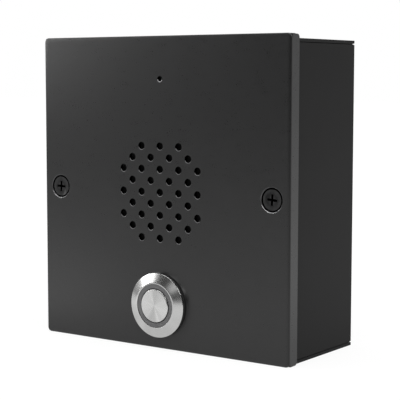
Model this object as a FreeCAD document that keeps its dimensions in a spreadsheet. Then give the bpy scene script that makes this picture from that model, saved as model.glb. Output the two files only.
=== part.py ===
import FreeCAD, Part
import Sketcher
import math
import os
from FreeCAD import Vector, Rotation

# Wall intercom panel: a folded steel box with a folded front cover that carries
# a speaker behind a grille, a microphone, a lit push button and the main board.
# Millimetres. X to the right seen from the front, Z up, Y into the wall.
# The origin lies on the wall face, level with the middle of the front cover.

doc = FreeCAD.newDocument("intercom_panel")

SIZES = {
    # Front cover, a folded pan
    "cover_sheet": 1.5,
    "cover_flange": 5.2,
    "cover_corner_radius": 1.7,
    "cover_corner_depth": 0.8,
    "cover_edge_radius": 0.5,
    "flange_end_radius": 1.4,
    "flange_end_step": 0.25,
    "flange_slit": 0.2,
    "top_edge_to_boot": 8.15,
    "bottom_flange_to_nut": 1.4,
    # Grille and microphone hole
    "grille_pitch": 6.0,
    "grille_hole_radius": 1.35,
    "mic_hole_radius": 0.95,
    # Back box, one folded sheet
    "box_sheet": 1.2,
    "bend_radius": 0.5,
    "cover_fit": 0.1,
    "flange_clearance": 0.15,
    "seam_gap": 0.2,
    "relief_size": 1.0,
    "relief_height": 0.5,
    "tab_length": 12.0,
    "tab_half_height": 8.0,
    "tab_to_board": 2.2,
    "wall_hole_radius": 2.4,
    "wall_holes_across": 46.0,
    "wall_holes_up": 83.3,
    # Cable bushing in the back plate
    "cable_bore_radius": 7.0,
    "bushing_wall": 1.4,
    "bushing_flange": 2.1,
    "bushing_flange_thickness": 1.6,
    "bushing_length": 3.5,
    "bushing_fit": 0.1,
    "cable_above_grille": 11.6,
    # Foam gasket between cover and box
    "gasket_thickness": 1.0,
    "gasket_width": 3.0,
    # Countersunk cover screws and their clinch nuts
    "screw_edge": 7.6,
    "countersink_radius": 4.25,
    "screw_sink": 0.35,
    "screw_rim": 0.15,
    "screw_seat_gap": 0.05,
    "screw_radius": 1.95,
    "screw_length": 9.0,
    "recess_span": 2.1,
    "recess_width": 0.9,
    "recess_depth": 1.6,
    "thread_clearance": 0.05,
    "clinch_nut_radius": 4.0,
    "clinch_nut_thickness": 3.2,
    "clinch_shank": 0.7,
    # Push button
    "button_rim_height": 1.9,
    "button_head_height": 3.3,
    "button_barrel_radius": 10.9,
    "button_barrel_wall": 1.9,
    "head_overhang": 1.1,
    "lip_overlap": 0.9,
    "lip_width": 0.7,
    "button_barrel_length": 20.0,
    "button_hole_fit": 0.2,
    "button_fit": 0.1,
    "head_gasket_inset": 0.3,
    "head_gasket_thickness": 0.6,
    "lip_thickness": 2.6,
    "ring_recess": 0.1,
    "ring_flange": 1.2,
    "light_ring_width": 1.8,
    "cap_gap": 0.15,
    "cap_proud": 0.5,
    "cap_chamfer": 0.25,
    "cap_face": 1.0,
    "cap_skirt": 0.8,
    "cap_shoulder": 0.75,
    "shoulder_thickness": 0.6,
    "shoulder_gap": 0.3,
    "button_travel": 2.0,
    "collar_thickness": 1.4,
    "stem_radius": 2.4,
    "stem_fit": 0.1,
    "spring_radius": 3.9,
    "spring_wire_radius": 0.3,
    "spring_length": 6.0,
    "spring_turns": 5.0,
    "seat_wall": 1.2,
    "chamber_radius": 6.5,
    "bridge_offset": 1.5,
    "bridge_thickness": 0.5,
    "bridge_half_length": 5.0,
    "bridge_half_width": 1.5,
    "contact_gap": 0.05,
    "contact_radius": 0.9,
    "contact_offset": 3.8,
    "chamber_end": 2.0,
    "led_pin_radius": 0.4,
    "led_size": 0.7,
    "led_board_thickness": 0.8,
    "switch_flange_radius": 10.3,
    "switch_flange": 3.5,
    "terminal_length": 6.0,
    "nut_across_flats": 27.0,
    "nut_thickness": 4.0,
    "nut_bore_fit": 0.1,
    "nut_chamfer": 0.8,
    # Speaker
    "speaker_half_width": 25.0,
    "speaker_corner_radius": 4.0,
    "speaker_to_nut": 3.0,
    "speaker_to_boot": 10.45,
    "frame_sheet": 0.8,
    "frame_rim": 3.4,
    "basket_shoulder": 1.6,
    "screen_thickness": 0.3,
    "screen_gap": 0.3,
    "speaker_gasket_thickness": 1.2,
    "surround_lip": 0.4,
    "surround_lip_width": 2.4,
    "roll_radius": 1.85,
    "roll_wall": 0.35,
    "roll_clearance": 0.3,
    "cone_rim_gap": 0.1,
    "cone_lip": 1.2,
    "cone_wall": 0.4,
    "cone_depth": 5.0,
    "basket_taper": 7.0,
    "ledge_depth": 6.6,
    "ledge_width": 2.0,
    "basket_depth": 8.8,
    "basket_bore_gap": 2.25,
    "window_width": 12.0,
    "window_margin": 1.4,
    "spider_wall": 0.4,
    "spider_wave": 0.3,
    "coil_radius": 6.05,
    "former_wall": 0.3,
    "glue_gap": 0.05,
    "winding_wall": 0.4,
    "winding_overhang": 0.6,
    "coil_gap": 0.25,
    "dust_cap_overlap": 0.55,
    "dust_cap_sphere": 9.0,
    "dust_cap_wall": 0.3,
    "top_plate_radius": 13.0,
    "top_plate_thickness": 2.0,
    "magnet_radius": 14.0,
    "magnet_bore_step": 1.5,
    "magnet_thickness": 5.0,
    "yoke_thickness": 2.0,
    "speaker_to_board": 1.6,
    "stud_edge": 3.7,
    "stud_radius": 1.45,
    "stud_length": 6.0,
    "stud_hole_radius": 1.7,
    "washer_radius": 3.2,
    "washer_thickness": 0.5,
    "small_nut_across_flats": 5.5,
    "small_nut_thickness": 2.4,
    "terminal_board_length": 7.4,
    "terminal_board_half_width": 4.5,
    "terminal_board_thickness": 0.8,
    "terminal_board_gap": 0.2,
    "lug_length": 5.5,
    "lug_width": 2.2,
    "lug_thickness": 0.4,
    "lug_spacing": 4.6,
    # Microphone
    "mic_capsule_radius": 4.8,
    "mic_capsule_length": 6.0,
    "mic_boot_wall": 1.15,
    "mic_boot_front": 1.35,
    "mic_boot_length": 8.0,
    "mic_sound_radius": 1.2,
    "mic_fit": 0.05,
    "mic_pin_radius": 0.35,
    "mic_pin_length": 1.25,
    "mic_pin_spacing": 2.54,
    # Main board and its fixings
    "board_half_width": 39.0,
    "board_thickness": 1.6,
    "board_to_button": 6.8,
    "board_to_top": 4.7,
    "board_hole_inset": 4.0,
    "board_hole_radius": 1.6,
    "rear_space": 21.7,
    "standoff_across_flats": 5.0,
    "standoff_bore_radius": 1.5,
    "standoff_bore_depth": 8.0,
    "board_screw_head_radius": 2.75,
    "board_screw_head": 1.9,
    "board_screw_length": 6.0,
    # Parts on the board's rear side
    "jack_inset": 11.0,
    "jack_width": 16.0,
    "jack_height": 21.5,
    "jack_depth": 13.5,
    "jack_mouth_width": 11.8,
    "jack_mouth_depth": 7.0,
    "jack_mouth_length": 14.0,
    "jack_floor": 2.0,
    "latch_width": 6.0,
    "latch_depth": 2.3,
    "jack_contact_pitch": 1.02,
    "jack_contact_width": 0.5,
    "jack_contact_thickness": 0.35,
    "jack_contact_length": 10.0,
    "block_inset": 8.0,
    "block_pitch": 3.5,
    "block_end_wall": 0.5,
    "block_height": 8.5,
    "block_depth": 9.5,
    "block_entry": 2.5,
    "block_entry_length": 6.0,
    "block_screw_radius": 1.2,
    "block_screw_length": 2.0,
    "block_screw_sink": 0.8,
    "block_screw_slot": 0.4,
    "relay_inset": 5.0,
    "relay_above_block": 9.5,
    "relay_width": 15.4,
    "relay_height": 10.5,
    "relay_depth": 11.5,
    "transformer_above_jack": 5.5,
    "transformer_height": 14.0,
    "transformer_depth": 6.5,
    "capacitor_radius": 4.0,
    "capacitor_height": 11.5,
    "capacitor_chamfer": 0.5,
    "capacitor_inset": 9.0,
    "capacitor_pitch": 10.5,
    "capacitor_above_relay": 9.5,
    "inductor_width": 10.0,
    "inductor_depth": 5.0,
    "inductor_post_radius": 2.6,
    "inductor_groove": 1.8,
    "processor_width": 18.0,
    "processor_depth": 1.4,
    "processor_above_cable": 14.0,
    "memory_width": 10.0,
    "memory_height": 7.0,
    "memory_depth": 1.2,
    "amplifier_width": 8.0,
    "amplifier_depth": 1.0,
    "crystal_width": 11.0,
    "crystal_height": 4.5,
    "crystal_depth": 3.6,
    "crystal_below_top": 10.0,
    "header_pitch": 2.5,
    "header_height": 5.8,
    "header_depth": 3.5,
    "header_end_wall": 1.25,
    "plug_depth": 3.0,
    "plug_shrink": 0.4,
    "header_above_board_edge": 4.0,
    "mic_header_above_grille": 30.6,
    "speaker_header_inset": 9.0,
    "reset_inset": 9.0,
    "reset_below_top": 20.0,
    "reset_width": 6.0,
    "reset_depth": 3.5,
    "reset_plunger_radius": 1.7,
    "reset_plunger_fit": 0.05,
    "reset_plunger_proud": 1.5,
    "reset_plunger_sink": 2.1,
    "reset_travel": 0.3,
    # Leads inside the case
    "lead_radius": 0.6,
    "mic_lead_radius": 0.45,
    "low_lead_rise": 4.5,
    "high_lead_rise": 7.0,
}

sheet = doc.addObject("Spreadsheet::Sheet", "Sizes")
SHEET_ROW = [0]


def write_cell(name, content):
    """Write one cell of the sheet and give it the size's name."""
    SHEET_ROW[0] += 1
    sheet.set(f"A{SHEET_ROW[0]}", name)
    sheet.set(f"B{SHEET_ROW[0]}", content)
    sheet.setAlias(f"B{SHEET_ROW[0]}", name)


class Size:
    """A number together with the formula on the sheet's cells that gives it."""

    def __init__(self, value, formula):
        self.value = value
        self.formula = formula

    def __add__(self, other):
        other = as_size(other)
        return Size(self.value + other.value, f"({self.formula} + {other.formula})")

    def __sub__(self, other):
        other = as_size(other)
        return Size(self.value - other.value, f"({self.formula} - {other.formula})")

    def __mul__(self, other):
        other = as_size(other)
        return Size(self.value * other.value, f"({self.formula} * {other.formula})")

    def __truediv__(self, other):
        other = as_size(other)
        return Size(self.value / other.value, f"({self.formula} / {other.formula})")

    def __neg__(self):
        return as_size(0) - self

    def __radd__(self, other):
        return as_size(other) + self

    def __rsub__(self, other):
        return as_size(other) - self

    def __rmul__(self, other):
        return as_size(other) * self


def square_root(size):
    return Size(math.sqrt(size.value), f"sqrt({size.formula})")


def as_size(number):
    """A plain number as a size, and a size as it is."""
    if isinstance(number, Size):
        return number
    return Size(float(number), repr(float(number)))


class Sizes:
    """The sheet's sizes, read as attributes."""


s = Sizes()
for size_name, size_value in SIZES.items():
    write_cell(size_name, str(size_value))
doc.recompute()
for size_name in SIZES:
    setattr(s, size_name, Size(float(sheet.get(size_name)), f"Sizes.{size_name}"))


def derive(name, size):
    """A size that follows from others, kept as a formula in the sheet."""
    write_cell(name, "=" + size.formula.replace("Sizes.", ""))
    named = Size(size.value, f"Sizes.{name}")
    setattr(s, name, named)
    return named


def ordered(first, second):
    """Two sizes, the smaller first."""
    return (first, second) if as_size(first).value <= as_size(second).value else (second, first)


def bind(thing, prop, size):
    thing.setExpression(prop, as_size(size).formula)


nodes = {}


def keep(name, thing):
    """Name a finished piece; the name is also its file's name."""
    thing.Label = name
    nodes[name] = thing
    return thing


def block(name, low, high):
    """A box between two opposite corners."""
    box = doc.addObject("Part::Box", name)
    for side, axis, start, end in zip(("Length", "Width", "Height"), "xyz", low, high):
        bind(box, side, as_size(end) - start)
        bind(box, f"Placement.Base.{axis}", start)
    return box


AXIS_TURN = {
    "x": Rotation(Vector(0, 0, 1), Vector(1, 0, 0)),
    "y": Rotation(Vector(0, 0, 1), Vector(0, 1, 0)),
    "z": Rotation(),
}


def place(thing, x, y, z, along="y"):
    """Stand a shape made along Z on a point, along another axis."""
    thing.Placement.Rotation = AXIS_TURN[along]
    for axis, value in zip("xyz", (x, y, z)):
        bind(thing, f"Placement.Base.{axis}", value)
    return thing


def rod(name, radius, start, end, x, z):
    """A cylinder along Y between two depths."""
    cylinder = doc.addObject("Part::Cylinder", name)
    bind(cylinder, "Radius", radius)
    bind(cylinder, "Height", as_size(end) - start)
    return place(cylinder, x, start, z)


def taper(name, radius_start, radius_end, start, end, x, z):
    """A cone along Y between two depths."""
    cone = doc.addObject("Part::Cone", name)
    bind(cone, "Radius1", radius_start)
    bind(cone, "Radius2", radius_end)
    bind(cone, "Height", as_size(end) - start)
    return place(cone, x, start, z)


def hexagon(name, across_flats, start, end, x, z):
    """A six-sided prism along Y, its flats up and down."""
    prism = doc.addObject("Part::Prism", name)
    prism.Polygon = 6
    bind(prism, "Circumradius", across_flats / math.sqrt(3))
    bind(prism, "Height", as_size(end) - start)
    return place(prism, x, start, z)


def fuse(name, *shapes):
    joined = doc.addObject("Part::MultiFuse", name)
    joined.Shapes = list(shapes)
    return joined


def cut(name, base, *tools):
    piece = doc.addObject("Part::Cut", name)
    piece.Base = base
    piece.Tool = tools[0] if len(tools) == 1 else fuse(name + "_tools", *tools)
    return piece


def common(name, first, second):
    piece = doc.addObject("Part::Common", name)
    piece.Base = first
    piece.Tool = second
    return piece


def group(name, *shapes):
    """Like pieces that share one node, each a solid of its own."""
    piece = doc.addObject("Part::Compound", name)
    piece.Links = list(shapes)
    return piece


def sketch_on(body, plane_role, name):
    plane = [part for part in body.Origin.OriginFeatures if part.Role == plane_role][0]
    sketch = body.newObject("Sketcher::SketchObject", name)
    sketch.AttachmentSupport = [(plane, "")]
    sketch.MapMode = "FlatFace"
    return sketch


def fix_point(sketch, edge, end, point):
    """Hold one point of a sketch at its two distances from the origin."""
    for kind, size in zip(("DistanceX", "DistanceY"), point):
        size = as_size(size)
        held = sketch.addConstraint(Sketcher.Constraint(kind, -1, 1, edge, end, size.value))
        sketch.setExpression(f"Constraints[{held}]", size.formula)


def draw_outline(sketch, corners):
    """Draw a closed outline through the corners, each held by its sizes."""
    first = sketch.GeometryCount
    points = [Vector(as_size(x).value, as_size(y).value, 0) for x, y in corners]
    for start, end in zip(points, points[1:] + points[:1]):
        sketch.addGeometry(Part.LineSegment(start, end), False)
    count = len(points)
    for i in range(count):
        following = first + (i + 1) % count
        sketch.addConstraint(Sketcher.Constraint("Coincident", first + i, 2, following, 1))
    for i, corner in enumerate(corners):
        fix_point(sketch, first + i, 1, corner)


def draw_circle(sketch, centre, radius):
    x, y = (as_size(value).value for value in centre)
    radius = as_size(radius)
    circle = sketch.addGeometry(Part.Circle(Vector(x, y, 0), Vector(0, 0, 1), radius.value), False)
    fix_point(sketch, circle, 3, centre)
    held = sketch.addConstraint(Sketcher.Constraint("Radius", circle, radius.value))
    sketch.setExpression(f"Constraints[{held}]", radius.formula)


def turned(name, profile, x, z):
    """A turned piece: an outline of (radius, depth) corners spun about Y."""
    body = doc.addObject("PartDesign::Body", name)
    sketch = sketch_on(body, "XY_Plane", name + "_profile")
    draw_outline(sketch, profile)
    spin = body.newObject("PartDesign::Revolution", name + "_spin")
    spin.Profile = sketch
    spin.ReferenceAxis = (sketch, ["V_Axis"])
    spin.Angle = 360
    bind(body, "Placement.Base.x", x)
    bind(body, "Placement.Base.z", z)
    return body


def ring(name, outer, inner, start, end, x, z):
    """A turned ring between two radii and two depths."""
    return turned(name, [(inner, start), (outer, start), (outer, end), (inner, end)], x, z)


def rectangle(half_width, low, high):
    return [(-half_width, low), (half_width, low), (half_width, high), (-half_width, high)]


def pad(body, name, loops, length, into_wall):
    """Pad outlines drawn on the body's XZ plane, into the wall or out of it."""
    sketch = sketch_on(body, "XZ_Plane", name + "_sketch")
    for loop in loops:
        draw_outline(sketch, loop)
    feature = body.newObject("PartDesign::Pad", name)
    feature.Profile = sketch
    feature.Reversed = into_wall
    bind(feature, "Length", length)
    return feature


def round_edges(body, name, chosen, radius):
    """Round the edges of the body's last feature that the test picks."""
    doc.recompute()
    last = body.Tip
    names = [f"Edge{i + 1}" for i, edge in enumerate(last.Shape.Edges) if chosen(edge)]
    feature = body.newObject("PartDesign::Fillet", name)
    feature.Base = (last, names)
    bind(feature, "Radius", radius)
    return feature


def runs_along(edge, axis):
    """Whether a straight edge runs along an axis."""
    if not isinstance(edge.Curve, (Part.Line, Part.LineSegment)):
        return False
    start, end = edge.Vertexes[0].Point, edge.Vertexes[-1].Point
    return abs(abs((end - start).normalize().dot(axis)) - 1) < 1e-6


def lies_at(edge, axis, place_along):
    """Whether an edge lies wholly in the plane at a distance along an axis."""
    return all(abs(corner.Point.dot(axis) - place_along) < 1e-4 for corner in edge.Vertexes)


Y_AXIS = Vector(0, 1, 0)

# Places that several pieces share

derive("speaker_stack", s.speaker_gasket_thickness + s.surround_lip + s.basket_depth
       + s.top_plate_thickness + s.magnet_thickness + s.yoke_thickness)
derive("standoff_length", s.speaker_stack + s.speaker_to_board)
derive("total_depth", s.cover_sheet + s.standoff_length + s.board_thickness
       + s.rear_space + s.box_sheet)
derive("front", -s.total_depth)
derive("inside", s.front + s.cover_sheet)
derive("board_front", s.inside + s.standoff_length)
derive("board_rear", s.board_front + s.board_thickness)

derive("mic_boot_radius", s.mic_capsule_radius + s.mic_fit + s.mic_boot_wall)
derive("button_from_bottom", s.cover_sheet + s.bottom_flange_to_nut + s.nut_across_flats / 2)
derive("button_below_grille", s.nut_across_flats / 2 + s.speaker_to_nut + s.speaker_half_width)
derive("mic_above_grille", s.speaker_half_width + s.speaker_to_boot + s.mic_boot_radius)
derive("mic_from_top", s.mic_boot_radius + s.top_edge_to_boot + s.cover_sheet)
derive("cover_height", s.button_from_bottom + s.button_below_grille
       + s.mic_above_grille + s.mic_from_top)
derive("cover_top", s.cover_height / 2)
derive("cover_bottom", -s.cover_top)
derive("button_z", s.cover_bottom + s.button_from_bottom)
derive("grille_z", s.button_z + s.button_below_grille)
derive("mic_z", s.grille_z + s.mic_above_grille)

derive("barrel_bore", s.button_barrel_radius - s.button_barrel_wall)
derive("lip_inner", s.barrel_bore - s.lip_overlap)
derive("ring_inner", s.lip_inner - s.button_fit - s.light_ring_width)
derive("cap_radius", s.ring_inner - s.cap_gap)

derive("frame_opening", s.speaker_half_width - s.frame_rim)
derive("roll_outer_radius", s.frame_opening - s.roll_clearance)
derive("roll_inner_radius", s.roll_outer_radius - 2 * s.roll_radius)
derive("cone_rim_radius", s.roll_inner_radius - s.cone_rim_gap)
derive("ledge_radius", s.frame_opening - s.basket_taper)
derive("former_outer", s.coil_radius + s.former_wall)
derive("winding_outer", s.former_outer + s.winding_wall)
derive("stud_offset", s.speaker_half_width - s.stud_edge)

derive("tab_inner", s.board_half_width + s.tab_to_board)
derive("box_inner", s.tab_inner + s.tab_length)
derive("box_outer", s.box_inner + s.box_sheet)
derive("cover_inner", s.box_outer + s.cover_fit)
derive("cover_outer", s.cover_inner + s.cover_sheet)
derive("box_top", s.cover_top - s.cover_sheet - s.cover_fit)
derive("box_top_inner", s.box_top - s.box_sheet)
derive("box_bottom_inner", s.cover_bottom + s.box_sheet)
derive("wall_low", s.cover_bottom + s.cover_sheet + s.cover_fit)
derive("box_front", s.inside + s.gasket_thickness)
derive("flange_rear", s.front + s.cover_flange)
derive("screw_x", s.cover_outer - s.screw_edge)
derive("cable_z", s.grille_z + s.cable_above_grille)

# Front cover: a pan folded from one sheet, with round grille holes

GRILLE_ROWS = (3, 4, 5, 4, 5, 4, 5, 4, 3)
row_rise = s.grille_pitch / math.sqrt(2)

cover = doc.addObject("PartDesign::Body", "cover_pan")
bind(cover, "Placement.Base.y", s.front)
cover_outline = rectangle(s.cover_outer, s.cover_bottom, s.cover_top)
cover_hollow = rectangle(s.cover_inner, s.cover_bottom + s.cover_sheet, s.cover_top - s.cover_sheet)
pad(cover, "cover_face", [cover_outline], s.cover_sheet, True)
round_edges(cover, "cover_corners", lambda edge: runs_along(edge, Y_AXIS), s.cover_corner_radius)
round_edges(cover, "cover_front_edge", lambda edge: lies_at(edge, Y_AXIS, 0), s.cover_edge_radius)

holes = sketch_on(cover, "XZ_Plane", "grille_sketch")
for row, count in enumerate(GRILLE_ROWS):
    rise = row_rise * (row - (len(GRILLE_ROWS) - 1) / 2)
    for column in range(count):
        across = row_rise * (2 * column - (count - 1))
        draw_circle(holes, (across, s.grille_z + rise), s.grille_hole_radius)
draw_circle(holes, (0, s.mic_z), s.mic_hole_radius)
button_hole_radius = s.button_barrel_radius + s.button_hole_fit
draw_circle(holes, (0, s.button_z), button_hole_radius)
grille = cover.newObject("PartDesign::Pocket", "grille_holes")
grille.Profile = holes
grille.Type = "ThroughAll"

# The flanges stand square behind the face's rounded corners. The side flanges
# end a little short, and a slit parts them from the top and bottom flanges.

flange_start = s.front + s.cover_corner_depth
flange_outer = block("flange_outer", (-s.cover_outer, flange_start, s.cover_bottom),
                     (s.cover_outer, s.flange_rear, s.cover_top))
flange_inner = block("flange_inner", (-s.cover_inner, flange_start, s.cover_bottom + s.cover_sheet),
                     (s.cover_inner, s.flange_rear, s.cover_top - s.cover_sheet))
cover_tools = []
for side, name in ((-1, "left"), (1, "right")):
    countersink_end = s.countersink_radius - s.cover_sheet
    cover_tools.append(taper(f"countersink_{name}", s.countersink_radius, countersink_end,
                             s.front, s.inside, side * s.screw_x, s.grille_z))
    inner, outer = ordered(side * s.cover_inner, side * s.cover_outer)
    for end, level in ((-1, s.cover_bottom), (1, s.cover_top)):
        place_name = f"{name}_{'low' if end < 0 else 'high'}"
        near, far = ordered(level, level - end * s.flange_end_radius)
        square = block(f"flange_end_{place_name}", (inner, s.flange_rear - s.flange_end_radius, near),
                       (outer, s.flange_rear, far))
        round_tool = doc.addObject("Part::Cylinder", f"flange_end_round_{place_name}")
        bind(round_tool, "Radius", s.flange_end_radius)
        bind(round_tool, "Height", s.cover_outer - s.cover_inner)
        place(round_tool, inner, s.flange_rear - s.flange_end_radius,
              level - end * s.flange_end_radius, along="x")
        cover_tools.append(cut(f"flange_corner_{place_name}", square, round_tool))
        slit_near, slit_far = ordered(side * (s.cover_inner - s.flange_slit), side * s.cover_inner)
        low, high = ordered(level, level - end * s.cover_sheet)
        cover_tools.append(block(f"flange_slit_{place_name}", (slit_near, s.inside, low),
                                 (slit_far, s.flange_rear, high)))
        low, high = ordered(level, level - end * s.flange_end_step)
        cover_tools.append(block(f"flange_step_{place_name}", (inner, flange_start, low),
                                 (outer, s.flange_rear, high)))
cover_flanges = cut("cover_flanges", flange_outer, flange_inner)
keep("front_cover", cut("front_cover", fuse("cover_with_flanges", cover, cover_flanges), *cover_tools))

# Back box: back plate and four walls folded from one sheet. The top and bottom
# walls lie over the ends of the side walls, with a thin open seam.

box = doc.addObject("PartDesign::Body", "box_shell")
box_outline = rectangle(s.box_outer, s.cover_bottom, s.box_top)
box_hollow = rectangle(s.box_inner, s.box_bottom_inner, s.box_top_inner)
pad(box, "box_back", [box_outline], s.box_sheet, False)
pad(box, "box_walls", [box_outline, box_hollow], -s.box_front, False)
round_edges(box, "box_bends", lambda edge: lies_at(edge, Y_AXIS, 0), s.bend_radius)

box_tools = [
    # Room for the cover's bottom flange
    block("flange_room", (-s.box_outer, s.box_front, s.cover_bottom),
          (s.box_outer, s.flange_rear + s.flange_clearance, s.wall_low)),
    rod("cable_hole", s.cable_bore_radius + s.bushing_wall + s.bushing_fit,
        -s.box_sheet, 0, 0, s.cable_z),
]
box_parts = [box]
tab_rear = s.box_front + s.box_sheet
clinch_hole_radius = s.screw_radius + s.thread_clearance + s.clinch_shank + s.thread_clearance
for side, name in ((-1, "left"), (1, "right")):
    tab_start, tab_end = ordered(side * s.tab_inner, side * s.box_inner)
    box_parts.append(block(f"screw_tab_{name}",
                           (tab_start, s.box_front, s.grille_z - s.tab_half_height),
                           (tab_end, tab_rear, s.grille_z + s.tab_half_height)))
    box_tools.append(rod(f"tab_hole_{name}", clinch_hole_radius, s.box_front, tab_rear,
                         side * s.screw_x, s.grille_z))
    wall_start, wall_end = ordered(side * s.box_inner, side * s.box_outer)
    relief_start, relief_end = ordered(side * (s.box_outer - s.relief_size), side * s.box_outer)
    for level, seam_low, end_name in ((s.box_top_inner, s.box_top_inner - s.seam_gap, "high"),
                                      (s.box_bottom_inner, s.box_bottom_inner, "low")):
        box_tools.append(block(f"seam_{name}_{end_name}", (wall_start, s.box_front, seam_low),
                               (wall_end, -s.relief_size, seam_low + s.seam_gap)))
        middle = seam_low + s.seam_gap / 2
        box_tools.append(block(f"relief_{name}_{end_name}",
                               (relief_start, -s.relief_size, middle - s.relief_height / 2),
                               (relief_end, 0, middle + s.relief_height / 2)))
        hole_z = s.wall_holes_up / 2 if end_name == "high" else -s.wall_holes_up / 2
        box_tools.append(rod(f"wall_hole_{name}_{end_name}", s.wall_hole_radius, -s.box_sheet, 0,
                             side * s.wall_holes_across / 2, hole_z))
keep("back_box", cut("back_box", fuse("box_with_tabs", *box_parts), *box_tools))

# Cable bushing: a nylon ring pressed into the back plate from inside

bushing_radius = s.cable_bore_radius + s.bushing_wall
flange_front = -s.box_sheet - s.bushing_flange_thickness
keep("cable_bushing", turned("cable_bushing", [
    (s.cable_bore_radius, -s.bushing_length),
    (bushing_radius, -s.bushing_length),
    (bushing_radius, flange_front),
    (bushing_radius + s.bushing_flange, flange_front),
    (bushing_radius + s.bushing_flange, -s.box_sheet),
    (bushing_radius, -s.box_sheet),
    (bushing_radius, 0),
    (s.cable_bore_radius, 0),
], 0, s.cable_z))

# Foam gasket on the front edges of the side and top walls

gasket_outer = block("gasket_outer", (-s.box_outer, s.inside, s.wall_low),
                     (s.box_outer, s.box_front, s.box_top))
gasket_opening = block("gasket_opening", (s.gasket_width - s.box_outer, s.inside, s.wall_low),
                       (s.box_outer - s.gasket_width, s.box_front, s.box_top - s.gasket_width))
keep("cover_gasket", cut("cover_gasket", gasket_outer, gasket_opening))

# Cover screws: countersunk heads with a cross recess, in clinch nuts on the tabs

head_top = s.front + s.screw_sink
cone_start = head_top + s.screw_rim
screw_head_radius = s.countersink_radius - s.screw_sink - s.screw_rim - s.screw_seat_gap
cone_end = cone_start + screw_head_radius - s.screw_radius


def cover_screw(name, x, z):
    screw = turned(name + "_blank", [
        (0, head_top),
        (screw_head_radius, head_top),
        (screw_head_radius, cone_start),
        (s.screw_radius, cone_end),
        (s.screw_radius, head_top + s.screw_length),
        (0, head_top + s.screw_length),
    ], x, z)
    wings = []
    for turn in (0, 1):
        wing = doc.addObject("Part::Wedge", f"{name}_wing_{turn}")
        spans = ((s.recess_span, s.recess_width / 2), (s.recess_width / 2, s.recess_span))[turn]
        bind(wing, "Xmin", -spans[0])
        bind(wing, "Xmax", spans[0])
        bind(wing, "Zmin", -spans[1])
        bind(wing, "Zmax", spans[1])
        bind(wing, "Ymin", 0)
        bind(wing, "Ymax", s.recess_depth)
        bind(wing, "X2min", -spans[0] / 3)
        bind(wing, "X2max", spans[0] / 3)
        bind(wing, "Z2min", -spans[1] / 3)
        bind(wing, "Z2max", spans[1] / 3)
        for axis, value in zip("xyz", (x, head_top, z)):
            bind(wing, f"Placement.Base.{axis}", value)
        wings.append(wing)
    return cut(name, screw, *wings)


def clinch_nut(name, x, z):
    bore = s.screw_radius + s.thread_clearance
    shank = bore + s.clinch_shank
    return turned(name, [
        (bore, s.box_front),
        (shank, s.box_front),
        (shank, tab_rear),
        (s.clinch_nut_radius, tab_rear),
        (s.clinch_nut_radius, tab_rear + s.clinch_nut_thickness),
        (bore, tab_rear + s.clinch_nut_thickness),
    ], x, z)


sides = ((-1, "left"), (1, "right"))
keep("cover_screws", group("cover_screws", *[
    cover_screw(f"cover_screw_{name}", side * s.screw_x, s.grille_z) for side, name in sides]))
keep("clinch_nuts", group("clinch_nuts", *[
    clinch_nut(f"clinch_nut_{name}", side * s.screw_x, s.grille_z) for side, name in sides]))

# Push button, from the head inwards

head_front = s.front - s.button_head_height
head_radius = s.button_barrel_radius + s.head_overhang
step = head_front + s.lip_thickness
barrel_rear = s.inside + s.button_barrel_length
keep("button_housing", turned("button_housing", [
    (s.lip_inner, head_front),
    (s.lip_inner + s.lip_width, head_front),
    (head_radius, s.front - s.button_rim_height),
    (head_radius, s.front - s.head_gasket_thickness),
    (s.button_barrel_radius, s.front - s.head_gasket_thickness),
    (s.button_barrel_radius, barrel_rear),
    (s.barrel_bore, barrel_rear),
    (s.barrel_bore, step),
    (s.lip_inner, step),
], 0, s.button_z))
keep("button_gasket", ring("button_gasket", head_radius - s.head_gasket_inset,
                           s.button_barrel_radius + s.button_fit,
                           s.front - s.head_gasket_thickness, s.front, 0, s.button_z))

ring_rear = step + s.ring_flange
keep("button_light_ring", turned("button_light_ring", [
    (s.ring_inner, head_front + s.ring_recess),
    (s.lip_inner - s.button_fit, head_front + s.ring_recess),
    (s.lip_inner - s.button_fit, step),
    (s.barrel_bore - s.button_fit, step),
    (s.barrel_bore - s.button_fit, ring_rear),
    (s.ring_inner, ring_rear),
], 0, s.button_z))

cap_front = head_front - s.cap_proud
shoulder = ring_rear + s.shoulder_gap
shoulder_rear = shoulder + s.shoulder_thickness
skirt_bore = s.cap_radius - s.cap_skirt
shoulder_radius = s.cap_radius + s.cap_shoulder
keep("button_cap", turned("button_cap", [
    (0, cap_front),
    (s.cap_radius - s.cap_chamfer, cap_front),
    (s.cap_radius, cap_front + s.cap_chamfer),
    (s.cap_radius, shoulder),
    (shoulder_radius, shoulder),
    (shoulder_radius, shoulder_rear),
    (skirt_bore, shoulder_rear),
    (skirt_bore, cap_front + s.cap_face),
    (0, cap_front + s.cap_face),
], 0, s.button_z))

collar_rear = shoulder_rear + s.collar_thickness
spring_seat = collar_rear + s.spring_length
stem_end = spring_seat + s.seat_wall + s.bridge_offset
keep("button_plunger", turned("button_plunger", [
    (0, cap_front + s.cap_face),
    (skirt_bore - s.button_fit / 2, cap_front + s.cap_face),
    (skirt_bore - s.button_fit / 2, shoulder_rear),
    (shoulder_radius, shoulder_rear),
    (shoulder_radius, collar_rear),
    (s.stem_radius, collar_rear),
    (s.stem_radius, stem_end),
    (0, stem_end),
], 0, s.button_z))

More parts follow.
